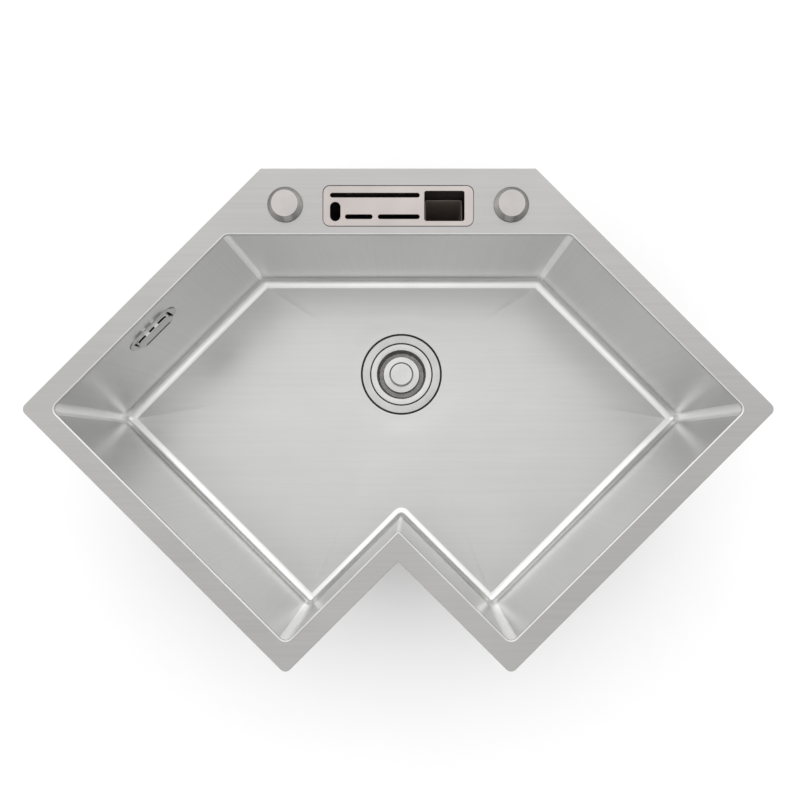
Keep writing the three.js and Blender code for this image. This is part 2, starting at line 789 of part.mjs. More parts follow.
// The hose slips over the two spigots, runs down behind the wall and under the floor to the drain.
function hoseRoute() {
  const top = overflowFoot.clone().setZ(overflowHeightZ + overflowSpigotLow + spigotLength - touch - 3);
  const end = new THREE.Vector3(housingOuter + touch + 1, 0, spigotHeight)
    .applyAxisAngle(new THREE.Vector3(0, 0, 1), towardsOverflow)
    .add(new THREE.Vector3(drainCentre.x, drainCentre.y, 0));
  const inwards = end.clone().sub(top).setZ(0).normalize();
  const bendTop = spigotHeight + hoseBend;
  const at = (reach, height) => top.clone().addScaledVector(inwards, reach).setZ(height);
  const bendPoint = (angle) => at(hoseBend * (1 - Math.cos(angle)), bendTop - hoseBend * Math.sin(angle));
  const run = end.clone().sub(top).setZ(0).length();
  return new THREE.CatmullRomCurve3([
    top,
    at(0, top.z - spigotLength),
    at(0, (top.z + bendTop) / 2),
    at(0, bendTop + 4),
    bendPoint(Math.PI / 6),
    bendPoint(Math.PI / 3),
    at(hoseBend + 8, spigotHeight - hoseSag / 2),
    at((run + hoseBend) / 2, spigotHeight - hoseSag),
    at(run - 2.5 * spigotLength, spigotHeight - hoseSag / 3),
    at(run - spigotLength, spigotHeight),
    end,
  ], false, 'centripetal');
}

function ribbedHose(route) {
  const length = route.getLength();
  const cuff = spigotLength + 2;
  const ribs = Math.round((length - 2 * cuff) / hosePitch);
  const pitch = (length - 2 * cuff) / ribs;
  const valley = hoseRadius - 1.6;
  const outerStops = [[0, hoseRadius], [cuff, hoseRadius]];
  for (let rib = 0; rib < ribs; rib += 1) {
    outerStops.push([cuff + (rib + 0.25) * pitch, valley], [cuff + (rib + 0.75) * pitch, hoseRadius]);
  }
  outerStops.push([length - cuff, hoseRadius - 0.1], [length, hoseRadius]);
  const socket = (spigotRadius + touch) / Math.cos(Math.PI / hoseSides);
  const boreStops = [[0, socket], [cuff, socket], [cuff + 1, hoseBore]];
  for (let rib = 5; rib < ribs; rib += 5) boreStops.push([cuff + rib * pitch, hoseBore]);
  boreStops.push([length - cuff - 1, hoseBore], [length - cuff, socket], [length, socket]);
  const across = new THREE.Vector3(0, 0, 1).cross(route.getTangentAt(1)).normalize();
  const circle = ([stop, radius]) => {
    const u = stop / length;
    const centre = route.getPointAt(u);
    const upwards = across.clone().cross(route.getTangentAt(u)).normalize();
    return Array.from({ length: hoseSides }, (_, i) => {
      const angle = -(i + 0.5) * 2 * Math.PI / hoseSides;
      return centre.clone()
        .addScaledVector(upwards, radius * Math.sin(angle))
        .addScaledVector(across, -radius * Math.cos(angle));
    });
  };
  const rings = [...outerStops.map(circle), ...boreStops.reverse().map(circle)];
  return skin(rings, { looped: true });
}
const hoseLine = hoseRoute();
piece('overflow_hose', ribbedHose(hoseLine), 'greyPlastic');

// Clamp rings that hold the hose on its spigots.
const hoseClampWidth = 9;
const hoseClampInner = hoseRadius + touch;
function clampRing(middle) {
  const low = middle - hoseClampWidth / 2;
  const high = middle + hoseClampWidth / 2;
  return joined(
    ring(hoseClampInner, hoseClampInner + 1.6, low, high),
    block(hoseClampInner + 1, hoseClampInner + 8, -4, 4, low, high),
  );
}
piece('hose_clamp_top', clampRing(overflowSpigotLow + spigotLength * 0.45).translate(0, hoseBehindWall, 0),
  'zincSteel', overflow);
piece('hose_clamp_bottom', clampRing(housingOuter + spigotLength * 0.55)
  .rotateY(Math.PI / 2).translate(0, 0, spigotHeight).rotateZ(towardsOverflow), 'zincSteel', drain);

// ---------------------------------------------------------------- tap-hole covers

const coverBase = rimTop + sealThickness;
const coverStud = 5;
const coverStudLow = -26;
const coverWasher = 2;
const wingReach = 17;             // of the wing nut below the deck
const wingHeight = 11;
tapPlaces.forEach((place, i) => {
  const hand = ['left', 'right'][i];
  const group = new THREE.Group();
  group.position.set(place.x, place.y, 0);
  sink.add(group);
  piece(`tap_cover_${hand}`, turned([
    [0, coverStudLow],
    [coverStud, coverStudLow],
    [coverStud, coverBase + 1],
    [coverRadius - 2.2, coverBase + 1],
    [coverRadius - 2.2, rimTop + 0.2],
    [coverRadius, rimTop + 0.2],
    [coverRadius, coverBase],
    [coverTopRadius, coverBase + coverHeight - 0.3],
    [coverTopRadius - 0.8, coverBase + coverHeight],
    [0, coverBase + coverHeight],
  ]), 'polishedSteel', group);
  const seal = ring(tapHoleRadius - 2, coverRadius - 2.6, rimTop, coverBase + 1);
  piece(`tap_cover_seal_${hand}`, seal, 'blackRubber', group);
  const washer = ring(coverStud + touch, tapHoleRadius + 6, -coverWasher, 0);
  piece(`tap_cover_washer_${hand}`, washer, 'blackRubber', group);
  const nutHigh = -coverWasher;
  const wings = block(-wingReach, wingReach, -2, 2, nutHigh - wingHeight - 2, nutHigh - 2);
  const nut = cutBy(
    joined(rod(coverStud + 4, nutHigh - 11, nutHigh), wings),
    rod(coverStud + touch, nutHigh - 14, nutHigh + 1),
  );
  piece(`tap_cover_nut_${hand}`, nut, 'greyPlastic', group);
});

// ---------------------------------------------------------------- knife and tool holder

const holder = new THREE.Group();
holder.position.set(holderCentre.x, holderCentre.y, 0);
sink.add(holder);

const ledgeLength = holderLength - 2 * ledgeOverlap;
const ledgeWidth = holderWidth - 2 * ledgeOverlap;
const ledgeRadius = holderRadius - ledgeOverlap;
const plateBase = 0.6;                          // thickness of the seal under the plate
const boxLength = ledgeLength - 2 * slip;
const boxWidth = ledgeWidth - 2 * slip;
const boxLow = -holderDepth;

function frameOf(outer, inner, low, high) {
  outer.holes.push(inner);
  return plate(outer, low, high);
}
piece('holder_ledge', frameOf(
  roundedRectangle(holderLength + 2 * ledgeWeld, holderWidth + 2 * ledgeWeld, holderRadius + ledgeWeld),
  roundedRectangle(ledgeLength, ledgeWidth, ledgeRadius), -1.2, 0,
), 'brushedSteel', holder);
piece('holder_seal', frameOf(
  roundedRectangle(holderLength - 1, holderWidth - 1, holderRadius),
  roundedRectangle(ledgeLength, ledgeWidth, ledgeRadius), 0, plateBase,
), 'blackRubber', holder);

// Openings in the plate: one long and two short slots, an oval hole, and the bay for the tool cup.
const cupBayX = (holderLength - cupBayWidth) / 2 - cupBayInset;
const cupBayHeight = holderWidth - 2 * cupBayMargin;
const slotsLeft = slotInset - holderLength / 2;
const slotsRight = cupBayX - cupBayWidth / 2 - cupBayGap;
const scissorHoleY = scissorHoleInset + (scissorHoleHeight - holderWidth) / 2;
const shortLeft = slotsLeft + scissorHoleWidth + scissorHoleGap;
const shortRight = shortLeft + shortSlotLength;
const slotRow = holderWidth / 2 - slotRowInset;

function slotBetween(left, right, y, height = slotHeight) {
  return roundedRectangle(right - left, height, height / 2, (left + right) / 2, y);
}
const knifeSlots = [
  slotBetween(slotsLeft, slotsRight, slotRow),
  slotBetween(shortLeft, shortRight, -slotRow),
  slotBetween(shortRight + shortSlotGap, slotsRight, -slotRow),
  slotBetween(slotsLeft, slotsLeft + scissorHoleWidth, scissorHoleY, scissorHoleHeight),
];
const tabInset = 25;
const tabPlaces = [slotsLeft + tabInset, slotsRight - tabInset];
function holderPlate() {
  const outline = roundedRectangle(holderLength, holderWidth, holderRadius);
  outline.holes.push(...knifeSlots, roundedRectangle(cupBayWidth, cupBayHeight, 3, cupBayX, 0));
  const tabFace = boxWidth / 2 - holderWall - touch;
  const tabs = tabPlaces.flatMap((x) => [-1, 1].map((hand) => {
    const span = [hand * tabFace, hand * (tabFace - 0.8)].sort((a, b) => a - b);
    return block(x - 5, x + 5, ...span, plateBase - 9, plateBase + 0.5);
  }));
  return joined(plate(outline, plateBase, rimTop), ...tabs);
}
piece('holder_plate', holderPlate(), 'silverPlate', holder);

const dividerX = cupBayX - cupBayWidth / 2 - 3;
const boxDrainLength = 18;
const boxDrainWidth = 5;
function knifeBox() {
  const bay = boxLength / 2 - holderWall;
  const knifeMiddle = (dividerX - bay) / 2;
  const drainPlaces = [-1.5, -0.5, 0.5, 1.5].map((step) => knifeMiddle + step * 1.6 * boxDrainLength);
  const drainHoles = [...drainPlaces, cupBayX].map((x) => plate(
    roundedRectangle(boxDrainLength, boxDrainWidth, boxDrainWidth / 2, x, 0),
    boxLow - 1, boxLow + holderWall + 1,
  ));
  const innerWidth = boxWidth - 2 * holderWall;
  const floor = boxLow + holderWall;
  const knifeRoom = plate(roundedRectangle(
    dividerX - holderWall / 2 + bay, innerWidth, 3, (dividerX - holderWall / 2 - bay) / 2, 0), floor, rimTop);
  const cupRoom = plate(roundedRectangle(
    bay - dividerX - holderWall / 2, innerWidth, 3, (bay + dividerX + holderWall / 2) / 2, 0), floor, rimTop);
  const body = plate(roundedRectangle(boxLength, boxWidth, ledgeRadius - slip), boxLow, plateBase);
  return cutBy(body, knifeRoom, cupRoom, ...drainHoles);
}
piece('knife_box', knifeBox(), 'blackPlastic', holder);

function toolCup() {
  const width = cupBayWidth - 2 * slip;
  const height = cupBayHeight - 2 * slip;
  const floor = boxLow + holderWall;
  const wall = 1.6;
  const body = plate(roundedRectangle(width, height, 3, cupBayX, 0), floor, plateBase - toolCupDrop);
  const room = plate(
    roundedRectangle(width - 2 * wall, height - 2 * wall, 2, cupBayX, 0), floor + wall, rimTop);
  const drainHole = plate(
    roundedRectangle(boxDrainLength, boxDrainWidth, boxDrainWidth / 2, cupBayX, 0),
    floor - 1, floor + wall + 1);
  return cutBy(body, room, drainHole);
}
piece('tool_cup', toolCup(), 'blackPlastic', holder);

// ---------------------------------------------------------------- worktop clamps

const clampPlaces = [
  ['left_back', side.leftBack, 0.8],
  ['left_end', side.leftEnd, 0.5],
  ['right_end', side.rightEnd, 0.5],
  ['right_back', side.rightBack, 0.2],
];
const bracketShelf = -11;
const leafWidth = 30;
const leafHeight = 20;
const jawThickness = 3;
const screwTail = 16;             // of the screw below the jaw
const screwLow = -jawDrop - screwTail;
const clampHole = clampScrewRadius + touch + 0.1;

function clampBracket() {
  const back = sheet + touch;
  const half = leafWidth / 2;
  const leaf = block(-half, half, back, back + 2, bracketShelf + 2 - leafHeight, bracketShelf + 2);
  const shelf = block(-10, 10, back, screwFromWall + 7, bracketShelf, bracketShelf + 2);
  const hole = rod(clampHole, bracketShelf - 1, bracketShelf + 3, 0, screwFromWall);
  return cutBy(joined(leaf, shelf), hole);
}

function clampScrew() {
  return joined(
    rod(clampScrewRadius, screwLow, bracketShelf + 3, 0, screwFromWall),
    rod(5.4, bracketShelf + 2 + touch, bracketShelf + 6, 0, screwFromWall, nutSides),
  );
}

function clampNut() {
  const high = -jawDrop - jawThickness - touch;
  const nut = joined(
    rod(5.4, high - 5, high, 0, screwFromWall, nutSides),
    block(-11, 11, screwFromWall - 1, screwFromWall + 1, high - 8, high - 1),
  );
  return cutBy(nut, rod(clampHole, high - 9, high + 1, 0, screwFromWall));
}

// Jaw: a lever that swings about the screw from along the wall to under the worktop.
function clampJaw() {
  const low = -jawDrop - jawThickness;
  const lever = joined(
    rod(6.6, low, -jawDrop, 0, screwFromWall),
    block(0, jawLength, screwFromWall - 5, screwFromWall + 5, low, -jawDrop),
    block(jawLength - 3, jawLength, screwFromWall - 5, screwFromWall + 5, low, -jawDrop + 6),
  );
  return cutBy(lever, rod(clampHole, low - 1, -jawDrop + 1, 0, screwFromWall));
}

clampPlaces.forEach(([name, wallSide, share]) => {
  const group = turnedGroup(wallFrame(wallSide, share, 0));
  piece(`clamp_bracket_${name}`, clampBracket(), 'zincSteel', group);
  piece(`clamp_screw_${name}`, clampScrew(), 'zincSteel', group);
  piece(`clamp_nut_${name}`, clampNut(), 'zincSteel', group);
  piece(`clamp_jaw_${name}`, clampJaw(), 'zincSteel', group);
});

export default sink;
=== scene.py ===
import math
import bpy
import bmesh
import numpy as np
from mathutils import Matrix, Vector
from mathutils.geometry import delaunay_2d_cdt


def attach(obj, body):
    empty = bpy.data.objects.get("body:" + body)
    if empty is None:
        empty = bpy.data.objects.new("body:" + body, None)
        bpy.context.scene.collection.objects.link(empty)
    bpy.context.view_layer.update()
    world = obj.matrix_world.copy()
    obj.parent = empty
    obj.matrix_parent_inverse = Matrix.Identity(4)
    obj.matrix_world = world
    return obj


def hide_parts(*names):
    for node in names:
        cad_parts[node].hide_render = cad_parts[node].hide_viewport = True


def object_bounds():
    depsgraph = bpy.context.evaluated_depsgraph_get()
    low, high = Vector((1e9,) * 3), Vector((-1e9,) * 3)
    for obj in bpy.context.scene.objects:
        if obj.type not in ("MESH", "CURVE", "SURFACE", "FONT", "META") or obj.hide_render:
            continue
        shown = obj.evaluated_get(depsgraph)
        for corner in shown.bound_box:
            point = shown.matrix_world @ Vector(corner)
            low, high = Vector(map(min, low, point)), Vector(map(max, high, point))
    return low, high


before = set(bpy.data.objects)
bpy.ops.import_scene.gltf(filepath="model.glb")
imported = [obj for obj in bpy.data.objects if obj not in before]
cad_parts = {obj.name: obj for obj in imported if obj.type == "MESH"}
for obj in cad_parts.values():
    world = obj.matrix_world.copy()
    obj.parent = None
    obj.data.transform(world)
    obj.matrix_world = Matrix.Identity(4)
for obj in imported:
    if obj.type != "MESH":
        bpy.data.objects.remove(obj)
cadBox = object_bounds()
mm = 0.001  # shapes are worked out in millimetres and become metres in meshOf

# The sink's plan, shared by the rim, the bowl and all that hangs on them.
plan = dict(arm=720, depth=505, cut=262, deck=89.2, rim=29.5, thickness=3, tip=9, fold=2,
            seal=1, sealInset=2, sealWidth=7, tapAside=152.2, tapFromBack=48.8,
            bowlDepth=215, fall=4, corner=10, fillet=13.5, notchFold=3, drainFromBack=159)


# Each vector over its length.
def unit(vectors):
    return vectors / np.linalg.norm(vectors, axis=-1, keepdims=True)


# Every side of a closed outline moves to its left by its own width. A new corner is the old start
# plus the side's direction times (gap cross next direction) over (direction cross next direction).
def movedIn(corners, widths):
    along = unit(np.roll(corners, -1, 0) - corners)
    inwards = np.stack([-along[:, 1], along[:, 0]], 1)
    start = corners + inwards * np.broadcast_to(widths, len(corners))[:, None]
    before, beforeAlong = np.roll(start, 1, 0), np.roll(along, 1, 0)
    gap = start - before
    cross = lambda a, b: a[:, 0] * b[:, 1] - a[:, 1] * b[:, 0]
    reach = cross(gap, along) / cross(beforeAlong, along)
    return before + beforeAlong * reach[:, None]


# Each corner gives way to an arc of its own radius: centre plus radius, turned evenly through the
# corner's angle. The straights between the arcs are divided at the given shares of their length.
def roundedLoop(corners, radii, steps=6, shares=None):
    corners = np.asarray(corners, float)
    radii = np.broadcast_to(np.asarray(radii, float), len(corners))
    arriving = unit(corners - np.roll(corners, 1, 0))
    leaving = np.roll(arriving, -1, 0)
    turn = np.arctan2(arriving[:, 0] * leaving[:, 1] - arriving[:, 1] * leaving[:, 0],
                      (arriving * leaving).sum(1))
    left = np.stack([-arriving[:, 1], arriving[:, 0]], 1)
    signed = radii * np.sign(turn)
    start = corners - arriving * (radii * np.tan(np.abs(turn) / 2))[:, None]
    centre = start + left * signed[:, None]
    angle = turn[:, None] * np.linspace(0, 1, steps + 1)
    spun = np.stack([left[:, :1] * np.cos(angle) - left[:, 1:] * np.sin(angle),
                     left[:, :1] * np.sin(angle) + left[:, 1:] * np.cos(angle)], 2)
    arcs = centre[:, None] - spun * signed[:, None, None]
    if shares is None:
        return arcs.reshape(-1, 2)
    parts = []
    for i, share in enumerate(shares):
        end, begin = arcs[i, -1], arcs[(i + 1) % len(arcs), 0]
        parts += [arcs[i], end + (begin - end) * share[:, None]]
    return np.concatenate(parts)


# Even shares of a straight, k over the number of steps. One more point lies 1.5 mm from each end,
# at the share 1.5 over the length, so that the long faces shade flat.
def evenShares(length, step, hold=1.5):
    count = max(1, int(round(length / step)))
    inner = np.linspace(0, 1, count + 1)[1:-1]
    return np.concatenate([[hold / length], inner, [1 - hold / length]])


slant = math.sqrt(0.5)
backEdge = plan["sealInset"] + plan["sealWidth"] / 2
rimLow = plan["seal"]
rimTop = rimLow + plan["thickness"]
outerCorner = backEdge + plan["cut"] * slant
rimCorners = np.array([
    (plan["cut"] * slant, backEdge),
    (-plan["cut"] * slant, backEdge),
    (-plan["arm"] * slant, outerCorner - plan["arm"] * slant),
    ((plan["depth"] - plan["arm"]) * slant, outerCorner - (plan["arm"] + plan["depth"]) * slant),
    (0, outerCorner - 2 * plan["depth"] * slant),
    ((plan["arm"] - plan["depth"]) * slant, outerCorner - (plan["arm"] + plan["depth"]) * slant),
    (plan["arm"] * slant, outerCorner - plan["arm"] * slant)])
back, leftBack, leftEnd, innerLeft, innerRight, rightEnd, rightBack = range(7)
notch = innerRight
sideWidths = np.where(np.arange(7) == back, plan["deck"], plan["rim"])
openingCorners = movedIn(rimCorners, sideWidths)
sideLengths = np.linalg.norm(np.roll(openingCorners, -1, 0) - openingCorners, axis=1)
tapPlaces = [np.array([hand * plan["tapAside"], backEdge - plan["tapFromBack"]]) for hand in (-1, 1)]
drainCentre = np.array([0, openingCorners[0, 1] - plan["drainFromBack"]])
drainFloor = rimTop - plan["bowlDepth"]
floorEdge = drainFloor + plan["fall"]


# The rim's outline moved in by a width. A corner's radius is its own less the width, and in the
# notch its own plus the width, but never under 0.4 mm.
def rimLoop(inset, shares):
    radii = np.array([plan["fold"]] * 2 + [plan["tip"]] * 5, float) - inset
    radii[notch] = plan["fold"] + inset
    return roundedLoop(movedIn(rimCorners, inset), np.maximum(radii, 0.4), 8, shares)


# The bowl's inner skin in plan, moved in by a width, or out if the width is negative. Radii
# shrink by the width, and the notch's grows by it, but none is under 0.5 mm.
def bowlLoop(inset, shares):
    radii = np.full(7, plan["corner"] - inset)
    radii[notch] = plan["notchFold"] + inset
    return roundedLoop(movedIn(openingCorners, inset), np.maximum(radii, 0.5), 10, shares)


# A frame on a wall of the bowl: X along the wall, Y away from the basin, Z up. Its foot is the
# wall's begin plus the share of the way to its end.
def wallFrame(wall, share, height):
    begin, end = openingCorners[wall], openingCorners[(wall + 1) % 7]
    along = unit(begin - end)
    foot = begin + (end - begin) * share
    return np.array([along[0], along[1], 0]), np.array([-along[1], along[0], 0]), np.array([*foot, height])


# A frame's foot plus x along, y outwards and z up.
def inFrame(points, wallAxes):
    alongWall, outwards, foot = wallAxes
    return (foot + points[..., :1] * alongWall + points[..., 1:2] * outwards
            + points[..., 2:] * np.array([0, 0, 1]))


# Faces of a grid, closed on itself along either way if asked. A point's number is its row times
# the number of columns, plus its column.
def gridFaces(rows, columns, closeRows=False, closeColumns=True):
    r = np.arange(rows if closeRows else rows - 1)[:, None]
    c = np.arange(columns if closeColumns else columns - 1)[None]
    down, right = (r + 1) % rows, (c + 1) % columns
    return np.stack([r * columns + c, down * columns + c, down * columns + right,
                     r * columns + right], -1).reshape(-1, 4)


# One or more closed shells of points and faces become a mesh whose faces point outwards. Points
# are multiplied by 0.001, and a shell's faces count on from the points of the shells before.
def meshOf(name, shells, uv=None, slots=None, sharp=32):
    mesh = bpy.data.meshes.new(name)
    offsets = np.cumsum([0] + [len(points) for points, _ in shells])
    points = np.concatenate([points for points, _ in shells]) * mm
    blocks = [block + start for (_, faces), start in zip(shells, offsets) for block in faces]
    corners = np.concatenate([block.ravel() for block in blocks]).astype(np.int32)
    sizes = np.concatenate([np.full(len(block), block.shape[1]) for block in blocks])
    mesh.vertices.add(len(points))
    mesh.vertices.foreach_set("co", points.astype(np.float32).ravel())
    mesh.loops.add(len(corners))
    mesh.loops.foreach_set("vertex_index", corners)
    mesh.polygons.add(len(sizes))
    starts = np.concatenate([[0], np.cumsum(sizes)[:-1]])
    mesh.polygons.foreach_set("loop_start", starts.astype(np.int32))
    if slots is not None:
        mesh.polygons.foreach_set("material_index", slots.astype(np.int32))
    mesh.update(calc_edges=True)
    if uv is not None:
        mesh.uv_layers.new(name="brush").data.foreach_set("uv", (uv * mm).astype(np.float32).ravel())
    bm = bmesh.new()
    bm.from_mesh(mesh)
    bmesh.ops.remove_doubles(bm, verts=bm.verts, dist=2e-6)
    bmesh.ops.dissolve_degenerate(bm, edges=bm.edges, dist=1e-7)
    bmesh.ops.recalc_face_normals(bm, faces=bm.faces)
    bm.to_mesh(mesh)
    bm.free()
    shadeSmooth(mesh, sharp)
    return mesh


# Smooth faces, with edges kept hard where the normals differ by more than an angle.
def shadeSmooth(mesh, sharp=32):
    mesh.polygons.foreach_set("use_smooth", np.ones(len(mesh.polygons), bool))
    mesh.set_sharp_from_angle(angle=math.radians(sharp))


# A closed, rounded profile of (radius, height) turned about an upright axis: x and y are the
# centre plus the radius times the angle's cosine and sine.
def turned(corners, radii=0.3, centre=(0, 0), sides=96, steps=4):
    profile = roundedLoop(corners, radii, steps)
    angle = np.arange(sides) * 2 * math.pi / sides
    r, z = profile[:, :1], profile[:, 1:]
    x, y = centre[0] + r * np.cos(angle), centre[1] + r * np.sin(angle)
    points = np.stack([x, y, np.broadcast_to(z, x.shape)], -1).reshape(-1, 3)
    return points, [gridFaces(len(profile), sides, True, True)]


# A turned rectangle from an inner to an outer radius.
def ring(inner, outer, low, high, centre=(0, 0), edge=0.3, sides=96):
    return turned([(inner, low), (outer, low), (outer, high), (inner, high)], edge, centre, sides)


# A screw thread: the radius is less by depth times pitch times (0.5 + 0.5 cosine) of the height
# over the pitch in turns less the angle, so the dip moves up one pitch a turn. At its low end the
# screw has 0.8 of that radius, and it widens evenly over the lead-in.
def thread(radius, low, high, pitch, centre=(0, 0), sides=32, depth=0.55, leadIn=1.2):
    rows = int((high - low) / pitch * 8)
    z = np.linspace(low, high, rows)[:, None]
    angle = np.arange(sides) * 2 * math.pi / sides
    wave = 0.5 - 0.5 * np.cos(2 * math.pi * (z - low) / pitch - angle)
    taper = np.clip((z - low) / leadIn, 0, 1)
    r = (radius - depth * pitch * (1 - wave)) * (0.8 + 0.2 * taper)
    r = np.concatenate([np.zeros((1, sides)), r, np.zeros((1, sides))])
    z = np.concatenate([[[low]], z, [[high]]])
    x, y = centre[0] + r * np.cos(angle), centre[1] + r * np.sin(angle)
    points = np.stack([x, y, np.broadcast_to(z, x.shape)], -1).reshape(-1, 3)
    return points, [gridFaces(len(z), sides)]


# Is each point inside an odd number of loops? An edge from a to b is crossed to the right where x
# is less than a's x plus the share of the rise from a to b times the run.
def insideLoops(points, loops):
    crossings = np.zeros(len(points), int)
    for loop in loops:
        a, b = loop, np.roll(loop, -1, 0)
        y = points[:, 1:2]
        spans = (a[:, 1] > y) != (b[:, 1] > y)
        rise = np.where(b[:, 1] == a[:, 1], 1, b[:, 1] - a[:, 1])
        x = a[:, 0] + (y - a[:, 1]) / rise * (b[:, 0] - a[:, 0])
        crossings += (spans & (points[:, :1] < x)).sum(1)
    return crossings % 2 == 1


# Triangles of a flat face bounded by loops: those of a constrained Delaunay mesh whose middle,
# the mean of three corners, lies inside an odd number of loops.
def flatFaces(loops):
    counts = np.cumsum([0] + [len(loop) for loop in loops])
    flat = np.concatenate(loops)
    edges = np.concatenate([np.stack([np.arange(a, b), np.roll(np.arange(a, b), -1)], 1)
                            for a, b in zip(counts[:-1], counts[1:])])
    points = [Vector(p) for p in flat.tolist()]
    _, _, triangles, origins, _, _ = delaunay_2d_cdt(points, edges.tolist(), [], 1, 1e-7)
    first = np.array([o[0] for o in origins])
    triangles = first[np.array(triangles)]
    return triangles[insideLoops(flat[triangles].mean(1), loops)]


# A plate with round edges. Each boundary is carried through rings of (width moved into the plate,
# height), and flat faces close the first and the last rings.
def plated(boundaries, rings):
    points, faces, tops, lows, start = [], [], [], [], 0
    for boundary in boundaries:
        boundary, own = boundary if isinstance(boundary, tuple) else (boundary, rings)
        loops = [boundary(inset) for inset, _ in own]
        count = len(loops[0])
        points += [np.column_stack([loop, np.full(count, z)]) for loop, (_, z) in zip(loops, own)]
        faces.append(gridFaces(len(own), count) + start)
        tops.append((loops[0], start))
        lows.append((loops[-1], start + (len(own) - 1) * count))
        start += len(own) * count
    for ends in (tops, lows):
        where = np.concatenate([np.arange(len(loop)) + first for loop, first in ends])
        faces.append(where[flatFaces([loop for loop, _ in ends])])
    return np.concatenate(points), faces


# Rings of a plate's edge: a flat hold, a quarter round, the side, a quarter round and a hold. On
# a quarter round the width is radius times (1 - sine) and the drop radius times (1 - cosine).
def edgeRings(low, high, top, bottom=0.3, hold=0.5, steps=6):
    a = np.linspace(0, math.pi / 2, steps + 1)
    rings = [(top + hold, high)]
    rings += list(zip(top * (1 - np.sin(a)), high - top * (1 - np.cos(a))))
    rings += list(zip(bottom * (1 - np.cos(a)), low + bottom * (1 - np.sin(a))))
    return rings + [(bottom + hold, low)]


# A rectangle about (x, y) whose corner radius is at most half its shorter side.
def roundedBox(width, height, radius, x=0, y=0, steps=8):
    w, h = width / 2, height / 2
    corners = np.array([(w, -h), (w, h), (-w, h), (-w, -h)]) + (x, y)
    return roundedLoop(corners, max(min(radius, w, h) - 1e-3, 0.05), steps)


# An outline that a plate's rings move in, or out where it bounds a hole: both sides lose twice
# the width, and the radius loses it once.
def boxBoundary(width, height, radius, x=0, y=0, hole=False, steps=8):
    sign = -1 if hole else 1
    return lambda inset: roundedBox(width - 2 * sign * inset, height - 2 * sign * inset,
                                    radius - sign * inset, x, y, steps)


# A plate between two x, two y and two z.
def block(x, y, z, edge=0.4, radius=0.6):
    rings = edgeRings(z[0], z[1], edge, edge, 0.05, 3)
    return plated([boxBoundary(x[1] - x[0], y[1] - y[0], radius, sum(x) / 2, sum(y) / 2, steps=3)], rings)


# A shell carried elsewhere by a function of its points.
def carried(shell, place):
    return place(shell[0]), shell[1]


# A turn about the Z axis, then a move to the drain: x cosine - y sine, and x sine + y cosine, plus
# the drain's centre.
def roundDrain(angle):
    turn = np.array([[math.cos(angle), math.sin(angle), 0], [-math.sin(angle), math.cos(angle), 0],
                     [0, 0, 1]])
    return lambda points: points @ turn + (*drainCentre, 0)


# An upright shell about the Z axis laid level, so that it runs out from the drain's axis:
# (x, y, z) becomes (z, y, height - x), turned to an angle.
def outFromDrain(height, angle):
    place = roundDrain(angle)
    return lambda points: place(np.stack([points[:, 2], points[:, 1], height - points[:, 0]], 1))


# How far each point is from an upright axis: the root of x squared + y squared from its centre.
def fromAxis(points, centre):
    return np.hypot(*(points[:, :2] - centre).T)


# Each face takes the material that a rule gives for its middle, in millimetres.
def zoned(mesh, rule):
    middles = np.empty(len(mesh.polygons) * 3)
    mesh.polygons.foreach_get("center", middles)
    mesh.polygons.foreach_set("material_index", rule(middles.reshape(-1, 3) / mm).astype(np.int32))
    return mesh


# The mesh that the modifiers give takes the place of the piece's own, with none left live.
def applied(piece):
    depsgraph = bpy.context.evaluated_depsgraph_get()
    done = bpy.data.meshes.new_from_object(piece.evaluated_get(depsgraph))
    piece.modifiers.clear()
    piece.data = done
    return piece


# A mesh less closed shells: the points in the mesh and in none of the shells.
def cutBy(name, mesh, shells):
    piece, tool = (bpy.data.objects.new(n, m) for n, m in
                   ((name, mesh), ("cutter", meshOf("cutter", shells))))
    for made in (piece, tool):
        bpy.context.scene.collection.objects.link(made)
    cut = piece.modifiers.new("cut", "BOOLEAN")
    cut.operation, cut.solver, cut.object = "DIFFERENCE", "EXACT", tool
    bpy.context.view_layer.update()
    mesh = applied(piece).data
    bpy.data.objects.remove(tool)
    bpy.data.objects.remove(piece)
    shadeSmooth(mesh)
    return mesh


# Links a finished mesh as a piece: it rides on a body, takes its materials and stands for its nodes.
def placed(name, mesh, body, materials, nodes=()):
    piece = bpy.data.objects.new(name, mesh)
    bpy.context.scene.collection.objects.link(piece)
    for material in materials:
        mesh.materials.append(material)
    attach(piece, body)
    if nodes:
        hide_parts(*nodes)
    return piece


# A node's own shape. Coplanar triangles are merged, and each edge over 35 degrees becomes a round
# of the given width in a number of segments. It shades smooth up to 40 degrees.
def softened(node, body, material, width=0.6, segments=2):
    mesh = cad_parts[node].data.copy()
    bm = bmesh.new()
    bm.from_mesh(mesh)
    bmesh.ops.remove_doubles(bm, verts=bm.verts, dist=1e-6)
    bmesh.ops.dissolve_limit(bm, angle_limit=math.radians(1), verts=bm.verts, edges=bm.edges)
    bm.to_mesh(mesh)
    bm.free()
    mesh.materials.clear()
    piece = placed(f"{node}_edged", mesh, body, [material], [node])
    bevel = piece.modifiers.new("edges", "BEVEL")
    bevel.width, bevel.segments, bevel.limit_method = width * mm, segments, "ANGLE"
    bevel.angle_limit, bevel.use_clamp_overlap = math.radians(35), True
    bevel.harden_normals = False
    bpy.context.view_layer.update()
    applied(piece)
    shadeSmooth(piece.data, 40)


# A hex colour in linear light: value over 12.92 up to 0.04045, else (value + 0.055) over 1.055 to
# the power 2.4.
def linearColour(code):
    value = np.array([int(code[i:i + 2], 16) for i in (1, 3, 5)]) / 255
    linear = np.where(value <= 0.04045, value / 12.92, ((value + 0.055) / 1.055) ** 2.4)
    return (*linear, 1.0)


